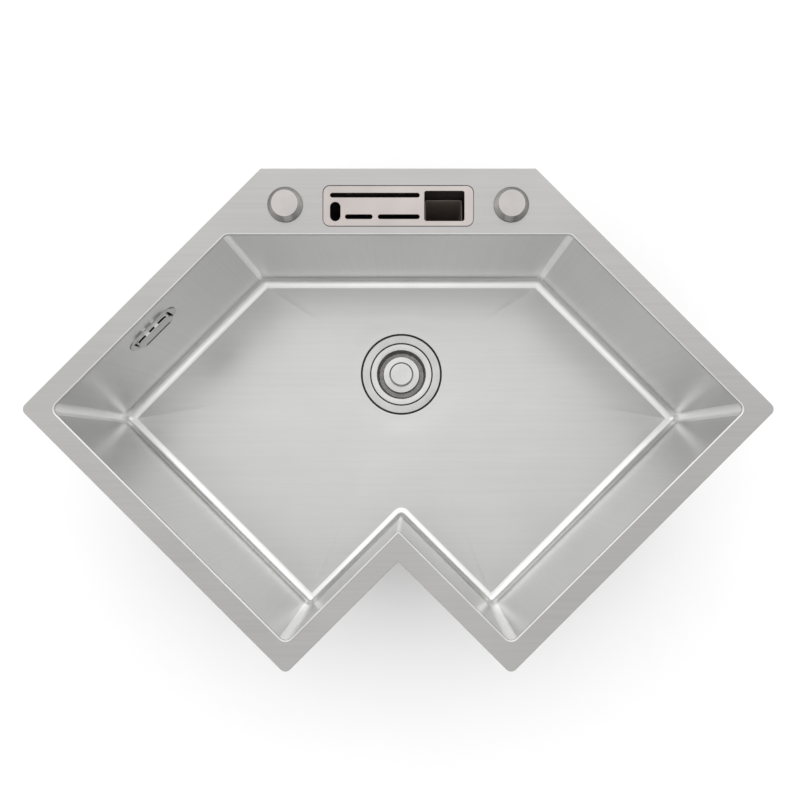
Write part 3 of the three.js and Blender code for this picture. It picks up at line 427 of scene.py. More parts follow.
# Adds one shader node. A socket in the links is joined, and any other value is set.
def addNode(tree, kind, links=None, **settings):
    node = tree.nodes.new(f"ShaderNode{kind}")
    for key, value in settings.items():
        setattr(node, key, value)
    for socket, value in (links or {}).items():
        if isinstance(value, bpy.types.NodeSocket):
            tree.links.new(value, node.inputs[socket])
        else:
            node.inputs[socket].default_value = value
    return node


# A material, its node tree, which is emptied, and the coordinates that its patterns read.
def newMaterial(name, coordinates="Object"):
    material = bpy.data.materials.new(name)
    material.use_nodes = True
    tree = material.node_tree
    tree.nodes.clear()
    return material, tree, addNode(tree, "TexCoord").outputs[coordinates]


# Ends a material. Colour is dark + tone times (light - dark). Roughness is low + (high - low) times
# (grit - 0.3) over 0.4. The surface rises by height times depth, in millimetres.
def closeMaterial(tree, look, tone, grit, height, fixed=None):
    colour = addNode(tree, "Mix", {"Factor": tone, 6: linearColour(look["dark"]),
                                   7: linearColour(look["light"])}, data_type="RGBA")
    rough = addNode(tree, "MapRange", {"Value": grit, "From Min": 0.3, "From Max": 0.7,
                                       "To Min": look["rough"][0], "To Max": look["rough"][1]})
    bump = addNode(tree, "Bump", {"Height": height, "Strength": look.get("strength", 0.35),
                                  "Distance": look["depth"] * mm})
    links = {"Base Color": colour.outputs[2], "Roughness": rough.outputs["Result"],
             "Normal": bump.outputs["Normal"], "Metallic": look.get("metallic", 0.0)}
    if "ior" in look:
        links["IOR"] = look["ior"]
    shader = addNode(tree, "BsdfPrincipled", {**links, **(fixed or {})})
    addNode(tree, "OutputMaterial", {"Surface": shader.outputs["BSDF"]})


# Brushed 304 stainless steel. An abrasive belt leaves fine parallel lines, which the eye sees as
# silky streaks and a sheen spread across them. Real lines are about 0.1 mm apart. These are
# 0.6 mm or more, as fine as the render can show. Tone is lines + bands six times as wide + clouds
# of 140 mm, mapped from the reach of the sum to 0..1.
def brushedSteel(name, look, alongWalls=False):
    material, tree, spot = newMaterial(name, "UV" if alongWalls else "Object")
    lines, length = look["lines"] * mm, look["length"] * mm
    size = (lines, length, lines) if alongWalls else (length, lines, lines)
    straight = addNode(tree, "Mapping", {"Vector": spot, "Rotation": (0, 0, look.get("turn", 0)),
                                         "Scale": size}, vector_type="TEXTURE").outputs["Vector"]
    fine = addNode(tree, "TexNoise", {"Vector": straight, "Scale": 1.0, "Detail": 3.0,
                                      "Roughness": 0.6}).outputs["Fac"]
    bands = addNode(tree, "TexNoise", {"Vector": straight, "Scale": 0.16, "Detail": 2.0}).outputs["Fac"]
    cloud = addNode(tree, "TexNoise", {"Vector": spot, "Scale": 1 / 0.14, "Detail": 2.0}).outputs["Fac"]
    streaks = addNode(tree, "Math", {0: fine, 1: bands}, operation="ADD").outputs[0]
    mixed = addNode(tree, "Math", {0: streaks, 1: cloud}, operation="ADD").outputs[0]
    tone = addNode(tree, "MapRange", {"Value": mixed, "From Min": 1.15, "From Max": 1.85}).outputs["Result"]
    fixed = {}
    if alongWalls:
        across = addNode(tree, "Tangent", direction_type="UV_MAP", uv_map="brush")
        fixed = {"Anisotropic": 0.4, "Tangent": across.outputs["Tangent"]}
    closeMaterial(tree, look, tone, fine, fine, fixed)
    return material


# Polished stainless steel, turned on a lathe: rings round the piece's own axis, which spread a
# highlight outwards from it in soft rays. Real rings are finer than these 0.8 mm. Tone is noise of
# the distance from the axis + clouds of 25 mm.
def turnedSteel(name, centre, look):
    material, tree, spot = newMaterial(name)
    level = addNode(tree, "Mapping", {"Vector": spot, "Location": (centre[0] * mm, centre[1] * mm, 0),
                                      "Scale": (1, 1, 1e6)}, vector_type="TEXTURE").outputs["Vector"]
    radius = addNode(tree, "VectorMath", {0: level}, operation="LENGTH").outputs["Value"]
    fine = addNode(tree, "TexNoise", {"W": radius, "Scale": 1 / (look["rings"] * mm), "Detail": 2.0},
                   noise_dimensions="1D").outputs["Fac"]
    cloud = addNode(tree, "TexNoise", {"Vector": spot, "Scale": 40.0}).outputs["Fac"]
    mixed = addNode(tree, "Math", {0: fine, 1: cloud}, operation="ADD").outputs[0]
    tone = addNode(tree, "MapRange", {"Value": mixed, "From Min": 0.7, "From Max": 1.3}).outputs["Result"]
    closeMaterial(tree, look, tone, fine, fine,
                  {"Anisotropic": look["spread"], "Anisotropic Rotation": 0.25})
    return material


# Metal with an even finish: buffed, plated or passivated. The eye sees faint clouds and grit. Tone
# is cloud noise mapped from 0.3..0.7 to 0..1.
def evenMetal(name, look):
    material, tree, spot = newMaterial(name)
    grit = addNode(tree, "TexNoise", {"Vector": spot, "Scale": 1 / (look["grit"] * mm), "Detail": 3.0,
                                      "Roughness": 0.65}).outputs["Fac"]
    cloud = addNode(tree, "TexNoise", {"Vector": spot, "Scale": 1 / (look["cloud"] * mm), "Detail": 2.0})
    tone = addNode(tree, "MapRange", {"Value": cloud.outputs["Fac"], "From Min": 0.3, "From Max": 0.7})
    closeMaterial(tree, look, tone.outputs["Result"], grit, grit)
    return material


# Injection-moulded plastic: a spark-eroded grain, and edges rubbed a little lighter by handling.
# Tone is up to 0.6 by the edge's sharpness + up to 0.3 by clouds of 30 mm.
def mouldedPlastic(name, look):
    material, tree, spot = newMaterial(name)
    grit = addNode(tree, "TexNoise", {"Vector": spot, "Scale": 1 / (look["grit"] * mm), "Detail": 3.0,
                                      "Roughness": 0.65}).outputs["Fac"]
    cloud = addNode(tree, "TexNoise", {"Vector": spot, "Scale": 1 / 0.03}).outputs["Fac"]
    edge = addNode(tree, "NewGeometry").outputs["Pointiness"]
    rubbed = addNode(tree, "MapRange", {"Value": edge, "From Min": 0.52, "From Max": 0.6,
                                        "To Max": 0.6}).outputs["Result"]
    patchy = addNode(tree, "MapRange", {"Value": cloud, "From Min": 0.3, "From Max": 0.7,
                                        "To Max": 0.3}).outputs["Result"]
    tone = addNode(tree, "Math", {0: rubbed, 1: patchy}, operation="ADD").outputs[0]
    closeMaterial(tree, look, tone, grit, grit)
    return material


# Rubber and foam: matt, with cells or crumbs that catch a little light. Tone is the distance to
# the nearest cell's middle times clouds of 20 mm.
def softGrain(name, look):
    material, tree, spot = newMaterial(name)
    cells = addNode(tree, "TexVoronoi", {"Vector": spot, "Scale": 1 / (look["grit"] * mm)})
    cloud = addNode(tree, "TexNoise", {"Vector": spot, "Scale": 1 / 0.02, "Detail": 3.0}).outputs["Fac"]
    near = cells.outputs["Distance"]
    mixed = addNode(tree, "Math", {0: near, 1: cloud}, operation="MULTIPLY").outputs[0]
    tone = addNode(tree, "MapRange", {"Value": mixed, "From Min": 0.05, "From Max": 0.5}).outputs["Result"]
    closeMaterial(tree, look, tone, cloud, near)
    return material


# The finishes. Roughness runs from a finish's smooth spots to its rough ones, and the sizes of its
# pattern are in millimetres.

# The deck, the bowl's walls and its floor are one brushed steel in three tones of painted light: the walls
# lightest, the floor darker and the deck darkest.
deckSteel = brushedSteel("brushed stainless steel, deck", dict(
    light="#afaead", dark="#a7a6a5", rough=(0.44, 0.52), lines=0.6, length=90, depth=0.014, metallic=1.0))
# The opening's rounded edge is painted lighter than the deck: a painted highlight.
openingHighlightSteel = evenMetal("stainless steel, edge eased by hand", dict(
    light="#d6d6d5", dark="#cdcdcc", rough=(0.42, 0.5), grit=0.8, cloud=40, depth=0.004, metallic=1.0))
# The walls' lighter tone is painted light.
wallSteel = brushedSteel("brushed stainless steel, walls", dict(
    light="#dfdfde", dark="#d9d9d8", rough=(0.28, 0.34), lines=0.8, length=70, depth=0.007,
    metallic=1.0), alongWalls=True)
# Near-white steel down the bowl's corners: a painted highlight.
cornerHighlightSteel = evenMetal("stainless steel, corners painted near white as a highlight", dict(
    light="#ffffff", dark="#fbfbfa", rough=(0.3, 0.36), grit=0.8, cloud=25, depth=0.004, metallic=1.0))
# Lighter steel along the floor's fillet: a painted highlight.
filletHighlightSteel = evenMetal("stainless steel, fillet painted lighter as a highlight", dict(
    light="#ececeb", dark="#e5e5e4", rough=(0.3, 0.36), grit=0.8, cloud=60, depth=0.004, metallic=1.0))
# The floor's tone, darker than the walls', is painted shade.
floorSteel = brushedSteel("brushed stainless steel, floor", dict(
    light="#c3c3c2", dark="#bdbdbc", rough=(0.28, 0.36), lines=0.8, length=70, depth=0.008, metallic=1.0))
pressedSteel = evenMetal("stainless steel, mill finish", dict(
    light="#b2b1af", dark="#a9a8a6", rough=(0.42, 0.46), grit=1.2, cloud=60, depth=0.02, metallic=1.0))
coverSteel = brushedSteel("brushed stainless steel, overflow", dict(
    light="#dadad9", dark="#cfcfce", rough=(0.36, 0.44), lines=0.6, length=40, turn=math.pi / 4,
    depth=0.015, metallic=1.0))
# Dark steel along the overflow face's lower edge: painted shade.
stepShadeSteel = evenMetal("stainless steel, painted shade along the face's lower edge", dict(
    light="#525150", dark="#434241", rough=(0.45, 0.55), grit=0.8, cloud=12, depth=0.01, metallic=1.0))
turnedLook = dict(light="#cacac9", dark="#bcbcbb", rough=(0.16, 0.26), rings=0.8, depth=0.012,
                  spread=0.6, metallic=1.0)
flangeSteel = turnedSteel("turned stainless steel, drain flange", drainCentre, dict(
    turnedLook, light="#c3c3c2", dark="#b2b2b1", rough=(0.24, 0.34)))
drainSteel = turnedSteel("turned stainless steel, drain basket", drainCentre, turnedLook)
# A darker steel in the basket's groove: painted shade, on a rougher unpolished finish.
grooveShadeSteel = evenMetal("stainless steel, rougher groove darkened as painted shade", dict(
    light="#afaeac", dark="#9f9e9b", rough=(0.5, 0.65), grit=0.8, cloud=12, depth=0.02, metallic=1.0))
capSteel = {hand: turnedSteel(f"turned stainless steel, {hand} cover", spot, dict(
    turnedLook, light="#b3afad", dark="#a6a2a0", rough=(0.28, 0.36)))
    for hand, spot in zip(("left", "right"), tapPlaces)}
# The bevel's dark tone is a painted reflection.
bevelReflectionSteel = evenMetal("stainless steel, bevel darkened as painted reflection", dict(
    light="#8f8d8b", dark="#7f7d7b", rough=(0.16, 0.24), grit=0.5, cloud=12, depth=0.004, metallic=1.0))
plateSilver = evenMetal("silver plate, satin", dict(
    light="#b5aeab", dark="#aca5a2", rough=(0.34, 0.42), grit=0.7, cloud=60, depth=0.01, metallic=1.0))
zinc = evenMetal("zinc-plated steel, passivated", dict(
    light="#b9bbbb", dark="#9da1a4", rough=(0.3, 0.48), grit=0.6, cloud=3, depth=0.02, metallic=1.0))
boxAbs = mouldedPlastic("black ABS, spark-eroded", dict(
    light="#4a423f", dark="#2f2a28", rough=(0.45, 0.58), grit=0.5, depth=0.03, ior=1.54))
# The cup's brown-black plastic is painted lighter than the box's: painted light in its well.
cupLitAbs = mouldedPlastic("brown-black ABS, painted lighter for light in the cup", dict(
    light="#8f827b", dark="#7a6e68", rough=(0.45, 0.58), grit=0.5, depth=0.03, ior=1.54))
blackPlastic = mouldedPlastic("black polypropylene", dict(
    light="#39393a", dark="#1a1a1b", rough=(0.42, 0.55), grit=0.9, depth=0.03, ior=1.49))
greyPlastic = mouldedPlastic("grey polypropylene", dict(
    light="#d2d2ce", dark="#bcbcb7", rough=(0.42, 0.55), grit=0.9, depth=0.03, ior=1.49))
rubber = softGrain("black EPDM rubber", dict(
    light="#1e1e21", dark="#131315", rough=(0.7, 0.85), grit=0.5, depth=0.03, ior=1.5))
deadener = softGrain("sound-deadening butyl sheet", dict(
    light="#39393b", dark="#242426", rough=(0.75, 0.9), grit=2.2, depth=0.12, strength=0.5, ior=1.5))
foam = softGrain("grey closed-cell PE foam", dict(
    light="#7a7b7e", dark="#5c5d60", rough=(0.9, 1.0), grit=0.8, depth=0.15, strength=0.5, ior=1.5))
print("materials ready")

# Rim panel: 3 mm sheet, brushed along X.

holder = dict(length=202, width=54, radius=9, fromBack=50.5, groove=0.7)
holderCentre = np.array([0, backEdge - holder["fromBack"]])
rim = dict(outerRound=0.8, openingRound=2.0, holeRound=0.5, underRound=0.02, tapHole=17.5,
           pointStep=60, uneased=0.2)
rimShares = [evenShares(length, rim["pointStep"]) for length in sideLengths]


# The rim's and the opening's outlines, with a point every 60 mm.
def rimBoundary(inset):
    return rimLoop(inset, rimShares)


def openingBoundary(inset):
    return bowlLoop(-inset, rimShares)


# A flat plate between its heights less the opening, the holder's cut-out and the two tap holes.
# Its edges are quarter rounds. The one round the opening, where the bowl is welded on, is painted
# lighter as a highlight, all but its first 0.2 mm on the deck.
def rimPanel():
    hole, groove = 2 * rim["tapHole"], holder["groove"]
    outer, inner, holes = (edgeRings(rimLow, rimTop, rim[edge], rim["underRound"])
                           for edge in ("outerRound", "openingRound", "holeRound"))
    boundaries = [(rimBoundary, outer), (openingBoundary, inner),
                  (boxBoundary(holder["length"] + 2 * groove, holder["width"] + 2 * groove,
                               holder["radius"] + groove, *holderCentre, hole=True), holes)]
    boundaries += [(boxBoundary(hole, hole, hole / 2, *spot, hole=True, steps=16), holes)
                   for spot in tapPlaces]
    mesh = meshOf("folded_rim", [plated(boundaries, outer)])
    # Faces inside this loop take the painted highlight.
    eased = openingBoundary(rim["openingRound"] - rim["uneased"])
    highlightedEdge = lambda p: insideLoops(p[:, :2], [eased])
    placed("folded_rim", zoned(mesh, highlightedEdge), "sink", [deckSteel, openingHighlightSteel],
           ["rim_panel"])


rimPanel()
print("rim done")

# Bowl: folded walls, a fillet all round, a creased floor and the drain's pressed recess.

bowl = dict(sheet=1.2, wallSteps=10, filletSteps=12, floorRows=26, firstRow=0.01, pointStep=22, hold=2,
            weldStep=2.6, creaseStep=1, flat=72, blend=30, crease=0.15, lipRound=0.7, footRound=0.5,
            flangeRadius=66.2, groove=2.6, drainHole=56, gasket=1.4, drainSheet=1.2)
recessRadius = bowl["flangeRadius"] + bowl["groove"]
flangeBase = drainFloor - bowl["drainSheet"]
recessFloor = flangeBase - bowl["gasket"]
bowlShares = [evenShares(length, bowl["pointStep"]) for length in sideLengths]
bowlColumns = len(bowlLoop(0, bowlShares))

# The overflow is half way along the left back wall. Its sizes are here because the bowl has its hole.

overflow = dict(below=47, length=86, height=30, rim=4.5, end=11.8, flat=9, wallGap=0.3, frame=1.2,
                standOff=4, face=1.0, faceRound=2.2, faceInside=1.4, holeLength=71, holeHeight=21,
                holeRound=6, slotSide=20, slotMiddle=10, bridge=7, slotFrom=1.2, endFrom=0.8,
                crescent=1.4, endRound=2, step=8, stud=2, studLength=30, studPitch=0.7,
                studPlace=0.36, behind=16)
overflowAxes = wallFrame(leftBack, 0.5, rimTop - overflow["below"])


# From a plate's plane and its height towards the basin to the overflow's place on the wall.
def onOverflow(points):
    return inFrame(np.stack([points[:, 0], -points[:, 2], points[:, 1]], 1), overflowAxes)


# Rows of a skin that stands a wall's thickness outside the basin. The walls are upright and the
# fillet is a quarter circle. On the floor z is the drain's + fall times radius over reach, eased
# to flat by 3t² - 2t³ over 30 mm. In the corners' creases it is 0.15 mm times the square of the
# share of the way from the drain higher. Round the drain it steps down with small round edges.
def bowlRows(wall):
    fillet = plan["fillet"] + wall
    a = np.linspace(0, math.pi / 2, bowl["filletSteps"] + 1)
    edge = floorEdge - wall
    heights = np.concatenate([
        [rimLow], np.linspace(rimLow - bowl["hold"], edge + fillet + bowl["hold"], bowl["wallSteps"]),
        edge + fillet * (1 - np.sin(a))])
    insets = np.concatenate([np.full(bowl["wallSteps"] + 1, -wall), fillet * (1 - np.cos(a)) - wall])
    upper = np.stack([np.column_stack([bowlLoop(inset, bowlShares), np.full(bowlColumns, z)])
                      for inset, z in zip(insets, heights)])
    spokes = bowlLoop(insets[-1], bowlShares) - drainCentre
    reach = np.linalg.norm(spokes, axis=1)
    heading = spokes / reach[:, None]
    # The way is 1 at the floor's edge and 0 at the flat ring round the drain.
    way = 1 - np.concatenate([[bowl["firstRow"]], np.linspace(0, 1, bowl["floorRows"])[1:]])[:, None]
    radius = bowl["flat"] + (reach - bowl["flat"]) * way
    ease = np.clip((radius - bowl["flat"]) / bowl["blend"], 0, 1)
    ease = ease * ease * (3 - 2 * ease)
    turns = np.hypot(*(np.roll(spokes, -1, 0) - spokes).T) < bowl["creaseStep"]
    rise = plan["fall"] * radius / reach * ease
    rise = rise + bowl["crease"] * way ** 2 * (turns | np.roll(turns, 1))
    floorXy = drainCentre + heading * radius[..., None]
    floor = np.concatenate([floorXy, (drainFloor - wall + rise)[..., None]], -1)
    b = np.linspace(0, math.pi / 2, 5)
    lip, foot = bowl["lipRound"] + wall * 0.3, bowl["footRound"]
    edgeRadius = recessRadius + wall
    drop = np.concatenate([
        np.column_stack([edgeRadius + lip * (1 - np.sin(b)), drainFloor - wall - lip * (1 - np.cos(b))]),
        np.column_stack([edgeRadius - foot * (1 - np.cos(b)), recessFloor - wall + foot * (1 - np.sin(b))]),
        [[bowl["drainHole"] + 2, recessFloor - wall], [bowl["drainHole"], recessFloor - wall]]])
    inner = np.concatenate([drainCentre + heading * drop[:, None, :1],
                            np.broadcast_to(drop[:, None, 1:], (len(drop), bowlColumns, 1))], -1)
    return np.concatenate([upper, floor, inner]), len(upper)


# The inner rows down to the drain and the outer ones back up. The brushing runs along the walls:
# u is the length round the rim, v the length down from it. The columns whose step is under 2.6 mm,
# which are those in the corners, are painted near white as a highlight, and the fillet rows lighter.
def bowlShell():
    inside, upperRows = bowlRows(0)
    outside, _ = bowlRows(bowl["sheet"])
    rows = np.concatenate([inside, outside[::-1]])
    faces = gridFaces(len(rows), bowlColumns, True, True)
    wall = bowlLoop(0, bowlShares)
    steps = np.linalg.norm(np.roll(wall, -1, 0) - wall, axis=1)
    along = np.concatenate([[0], np.cumsum(steps)])
    down = np.concatenate([[0], np.cumsum(np.linalg.norm(np.diff(rows[:, 0], axis=0), axis=1)), [0]])
    r, c = np.arange(len(rows))[:, None], np.arange(bowlColumns)[None]
    u = np.stack([along[c], along[c], along[c + 1], along[c + 1]], -1)
    v = np.stack([down[r], down[r + 1], down[r + 1], down[r]], -1)
    uv = np.stack(np.broadcast_arrays(u, v), -1).reshape(-1, 2)
    # The corner columns and the fillet rows take lighter steels as painted highlights.
    finishes = [wallSteel, cornerHighlightSteel, floorSteel, pressedSteel, filletHighlightSteel]
    onBack, onFloor, onFillet = r >= len(inside), r >= upperRows - 1, r > bowl["wallSteps"] + 1
    onLitCorner = (steps < bowl["weldStep"])[None]
    slots = np.select([onBack, onFloor, onFillet, onLitCorner], [3, 2, 4, 1], 0).ravel()
    shell = meshOf("pressed_bowl", [(rows.reshape(-1, 3), [faces])], uv, slots)
    for material in finishes:
        shell.materials.append(material)  # before the cut, which drops the faces' slots otherwise
    hole = plated([boxBoundary(overflow["holeLength"], overflow["holeHeight"], overflow["holeRound"])],
                  [(0, 3), (0, -8)])  # from 3 mm before the wall's face to 8 mm behind it
    shell = cutBy("pressed_bowl", shell, [carried(hole, onOverflow)])
    placed("pressed_bowl", shell, "sink", [], ["bowl"])


bowlShell()
print("bowl done")

# Drain: flange and cup, lift-out basket with its knob, and the housing below.

drain = dict(screw=4, cupBottom=41, cupDepth=36, throat=53.1, ledge=4.2, seatDepth=4.4, fit=0.3,
             slotIn=12, slotOut=22, slotSpacing=0.22, rim=51.7, grooveOut=40, grooveIn=31,
             grooveDepth=20, hat=5, knobGap=4.6, knob=20.4, knobThickness=3, chamfer=2.4, neck=8,
             stem=3, stopper=27, stopperHeight=3, holes=12, holeRadius=1.8, holeHeight=3.4, bead=0.25,
             housingFlange=66, flangeHeight=4, housingWall=3, body=52, cone=13, outlet=24,
             outletWall=4, spigot=8.6, spigotWall=2, spigotLength=20, spigotDrop=6, hub=8.5, hubGap=2,
             hubLength=13, ribs=3, ribWidth=3, ribHeight=10, tail=20, tailWall=2, tailLength=42,
             collar=3, nutWall=5, nutFloor=3, grips=8, gripWidth=4)
seat = drainFloor - drain["seatDepth"]
cupTop = drain["throat"] - drain["ledge"]
cupFloor = drainFloor - drain["cupDepth"]
hatTop = drainFloor - drain["hat"]
knobBase = hatTop + drain["knobGap"]
knobTop = knobBase + drain["knobThickness"]
grooveFloor = drainFloor - drain["grooveDepth"]
stopperTop = cupFloor + drain["stopperHeight"]
housingTop = recessFloor - bowl["sheet"] - 2 * bowl["gasket"]
housingInner = drain["throat"] + bowl["drainSheet"] + drain["fit"]
housingOuter = housingInner + drain["housingWall"]
housingLow = housingTop - drain["body"]
outletTop = housingLow - drain["cone"]
outletLow = outletTop - drain["spigotLength"]
outletBore = drain["outlet"] - drain["outletWall"]
hubTop = cupFloor - bowl["drainSheet"] - drain["hubGap"]
hubLow = hubTop - drain["hubLength"]
spigotHeight = (housingTop + housingLow) / 2 - drain["spigotDrop"]
tailTop = outletLow - 1.5 * bowl["gasket"]
tailLow = tailTop - drain["tailLength"]


# A turned cup less four slots in its floor, each between two radii and two angles.
def strainerCup():
    t, bore = bowl["drainSheet"], drain["screw"] + drain["fit"]
    corners = [(bore, cupFloor - t), (drain["cupBottom"] + t, cupFloor - t),
               (cupTop + t, seat - t), (drain["throat"] + t, seat - t),
               (drain["throat"] + t, flangeBase), (bowl["flangeRadius"], flangeBase),
               (bowl["flangeRadius"] - 0.3, drainFloor), (drain["throat"], drainFloor),
               (drain["throat"], seat), (cupTop, seat), (drain["cupBottom"], cupFloor),
               (bore, cupFloor)]
    cup = turned(corners, [0, 4, 1, 1.4, 0.4, 0.3, 0.8, 1, 0.6, 1, 2.8, 0], drainCentre, 144, 6)
    a = np.linspace(-1, 1, 13)[:, None] * (math.pi / 4 - drain["slotSpacing"])
    arcs = []
    for quarter in range(4):
        angle = quarter * math.pi / 2 + a
        heading = np.concatenate([np.cos(angle), np.sin(angle)], 1)
        arc = np.concatenate([heading * drain["slotOut"], heading[::-1] * drain["slotIn"]]) + drainCentre
        arcs.append(plated([lambda inset, arc=arc: arc], [(0, cupFloor + 2), (0, cupFloor - 4)]))
    mesh = cutBy("strainer_cup_pressed", meshOf("strainer_cup_pressed", [cup]), arcs)
    placed("strainer_cup_pressed", mesh, "sink", [flangeSteel], ["strainer_cup"])


# A turned basket less a ring of round holes in the side of its hat, at number times the full turn
# over 12. Its knob has a chamfer of 2.4 mm, and its stem ends in the stopper's disc.
def strainerBasket():
    t, bore = bowl["drainSheet"], drain["stem"] + drain["fit"]
    sealTop = seat + bowl["gasket"]
    inner, outer = drain["grooveIn"], drain["grooveOut"]
    corners = [(bore, hatTop - t), (inner - t, hatTop - t), (inner - t, grooveFloor - t),
               (outer, grooveFloor - t), (outer + t, sealTop), (drain["rim"], sealTop),
               (drain["rim"], drainFloor), (outer + 1, drainFloor - 0.8), (outer - t, grooveFloor),
               (inner, grooveFloor), (inner, hatTop), (bore, hatTop)]
    basket = turned(corners, [0, 0.8, 2, 2, 0.8, 0.4, 1.3, 2.4, 1.4, 1.4, 1.5, 0], drainCentre, 144, 6)
    radius, start, end = drain["holeRadius"], inner - 4, inner + 1.4
    hole = turned([(0, start), (radius, start), (radius, end), (0, end)], 0, sides=16)
    holeLevel = grooveFloor + drain["holeHeight"]
    holes = [carried(hole, outFromDrain(holeLevel, number * 2 * math.pi / drain["holes"]))
             for number in range(drain["holes"])]
    mesh = cutBy("basket_pressed", meshOf("basket_pressed", [basket]), holes)
    middle = (inner + outer - t) / 2
    # The groove's faces take the darker steel: painted shade.
    inGroove = lambda p: ((np.abs(fromAxis(p, drainCentre) - middle) < middle - inner + 0.4)
                          & (p[:, 2] < drainFloor - 1.5) | (p[:, 2] < hatTop - 1.3))
    placed("basket_pressed", zoned(mesh, inGroove), "strainer_basket",
           [drainSteel, grooveShadeSteel], ["strainer_basket"])
    flat = drain["knob"] - drain["chamfer"]
    knob = turned([(bore, hatTop), (drain["neck"], hatTop), (drain["neck"], knobBase),
                   (drain["knob"], knobBase), (drain["knob"], knobTop - 1.6), (flat, knobTop - 0.2),
                   (0, knobTop - 0.8), (0, knobBase), (bore, knobBase)],
                  [0, 0, 1, 0.6, 0.5, 0.6, 0, 0, 0], drainCentre, 96, 5)
    # The knob's chamfered edge takes the bevel's darker steel: a painted reflection.
    edge = lambda p: fromAxis(p, drainCentre) > flat - 0.3
    placed("knob_turned", zoned(meshOf("knob_turned", [knob]), edge), "strainer_basket",
           [drainSteel, bevelReflectionSteel], ["basket_knob"])
    disc = drain["stopper"] - 1
    stem = turned([(0, stopperTop), (disc, stopperTop), (disc, stopperTop + 1.2),
                   (drain["stem"], stopperTop + 1.2), (drain["stem"], knobBase - 0.3),
                   (0, knobBase - 0.3)], [0, 0.3, 0.4, 1, 0.3, 0], drainCentre, 64)
    placed("stem_turned", meshOf("stem_turned", [stem]), "strainer_basket",
           [drainSteel], ["basket_stem"])


# Shells placed as the one piece that stands for a node.
def turnedPiece(node, body, material, shells):
    placed(f"{node}_turned", meshOf(f"{node}_turned", shells), body, [material], [node])


# The drain's seals and its tail pipe, all turned about its axis. The seal below the flange has a
# bead that rises in the groove round it to 0.25 mm below the floor, a black ring that stands in for
# the shade in that groove. The pipe has a collar at its top.
def drainRings():
    c, hole = drainCentre, bowl["drainHole"] - 1
    beadIn, beadOut, beadTop = bowl["flangeRadius"] + 0.1, recessRadius - 0.2, drainFloor - drain["bead"]
    turnedPiece("flange_seal", "sink", rubber,
                [turned([(hole, recessFloor), (beadOut, recessFloor), (beadOut, beadTop),
                         (beadIn, beadTop), (beadIn, flangeBase), (hole, flangeBase)],
                        [0.3, 0.5, 0.6, 0.4, 0, 0.3], c, 144)])
    turnedPiece("basket_seal", "strainer_basket", rubber,
                [ring(cupTop + 0.4, drain["throat"] - 0.1, seat, seat + bowl["gasket"], c)])
    turnedPiece("stopper_seal", "strainer_basket", rubber,
                [ring(drain["slotIn"] - 3, drain["stopper"], cupFloor, stopperTop, c, 0.7)])
    turnedPiece("housing_gasket", "sink", rubber,
                [ring(bowl["drainHole"] + 1, drain["housingFlange"] - 1, housingTop,
                      recessFloor - bowl["sheet"], c, 0.6)])
    turnedPiece("outlet_washer", "sink", rubber,
                [ring(outletBore, drain["outlet"], tailTop, outletLow, c, 0.4)])
    inner, pipe = drain["tail"] - drain["tailWall"], drain["tail"]
    turnedPiece("tail_pipe", "sink", greyPlastic, [turned(
        [(inner, tailLow), (pipe, tailLow), (pipe, tailTop - drain["collar"]),
         (drain["outlet"], tailTop - drain["collar"]), (drain["outlet"], tailTop), (inner, tailTop)],
        [0.5, 0.8, 0.8, 0.5, 0.5, 0.5], c)])


# The spigot points from the drain's axis to the overflow's hose, 16 mm behind the bowl's wall.
hoseFoot = inFrame(np.array([0, overflow["behind"], 0]), overflowAxes)
towardsHose = math.atan2(hoseFoot[1] - drainCentre[1], hoseFoot[0])


# A turned cup with a spigot, and inside it a hub on three ribs, 120 degrees apart.
def drainHousing():
    flangeLow = housingTop - drain["flangeHeight"]
    cup = turned(
        [(outletBore, outletLow), (drain["outlet"], outletLow), (drain["outlet"], outletTop),
         (housingOuter, housingLow), (housingOuter, flangeLow), (drain["housingFlange"], flangeLow),
         (drain["housingFlange"], housingTop), (housingInner, housingTop),
         (housingInner, housingLow + 2), (outletBore, outletTop + 2)],
        [0.5, 1, 3, 6, 1.5, 1, 0.6, 0.6, 4, 3], drainCentre, 96, 5)
    end = housingOuter + drain["spigotLength"]
    bore = drain["spigot"] - drain["spigotWall"]
    tube = turned([(bore, housingInner + 0.6), (drain["spigot"], housingInner + 0.6),
                   (drain["spigot"], end), (bore, end)], [0, 0, 0.8, 0.5], sides=48)
    hub = ring(drain["screw"] + drain["fit"], drain["hub"], hubLow, hubTop, drainCentre, 0.5, 32)
    rib = block((drain["hub"] - 0.6, housingInner + 0.5), (-drain["ribWidth"] / 2, drain["ribWidth"] / 2),
                (hubLow, hubLow + drain["ribHeight"]), 0.5)
    shells = [cup, carried(tube, outFromDrain(spigotHeight, towardsHose)), hub]
    shells += [carried(rib, roundDrain((number * 2 + 0.5) * math.pi / drain["ribs"]))
               for number in range(drain["ribs"])]
    turnedPiece("drain_housing", "sink", blackPlastic, shells)


# A turned nut with eight grips, 45 degrees apart.
def outletNut():
    low, high = tailTop - drain["collar"] - drain["nutFloor"] - drain["fit"], outletTop - 4
    wide, floor = drain["outlet"] + drain["nutWall"], low + drain["nutFloor"]
    onPipe, onOutlet = drain["tail"] + drain["fit"], drain["outlet"] + drain["fit"]
    nut = turned([(onPipe, low), (wide, low), (wide, high), (onOutlet, high), (onOutlet, floor),
                  (onPipe, floor)], [0.4, 1.5, 1, 0.4, 0.4, 0.4], drainCentre)
    grip = block((wide - 0.7, wide + 1.9), (-drain["gripWidth"] / 2, drain["gripWidth"] / 2),
                 (low + 0.6, high - 0.4), 0.8, 0.9)
    grips = [carried(grip, roundDrain(number * 2 * math.pi / drain["grips"]))
             for number in range(drain["grips"])]
    turnedPiece("outlet_nut", "sink", greyPlastic, [nut, *grips])


strainerCup()
strainerBasket()
drainRings()
drainHousing()
outletNut()
softened("centre_screw", "sink", zinc, 0.3)
print("drain done")


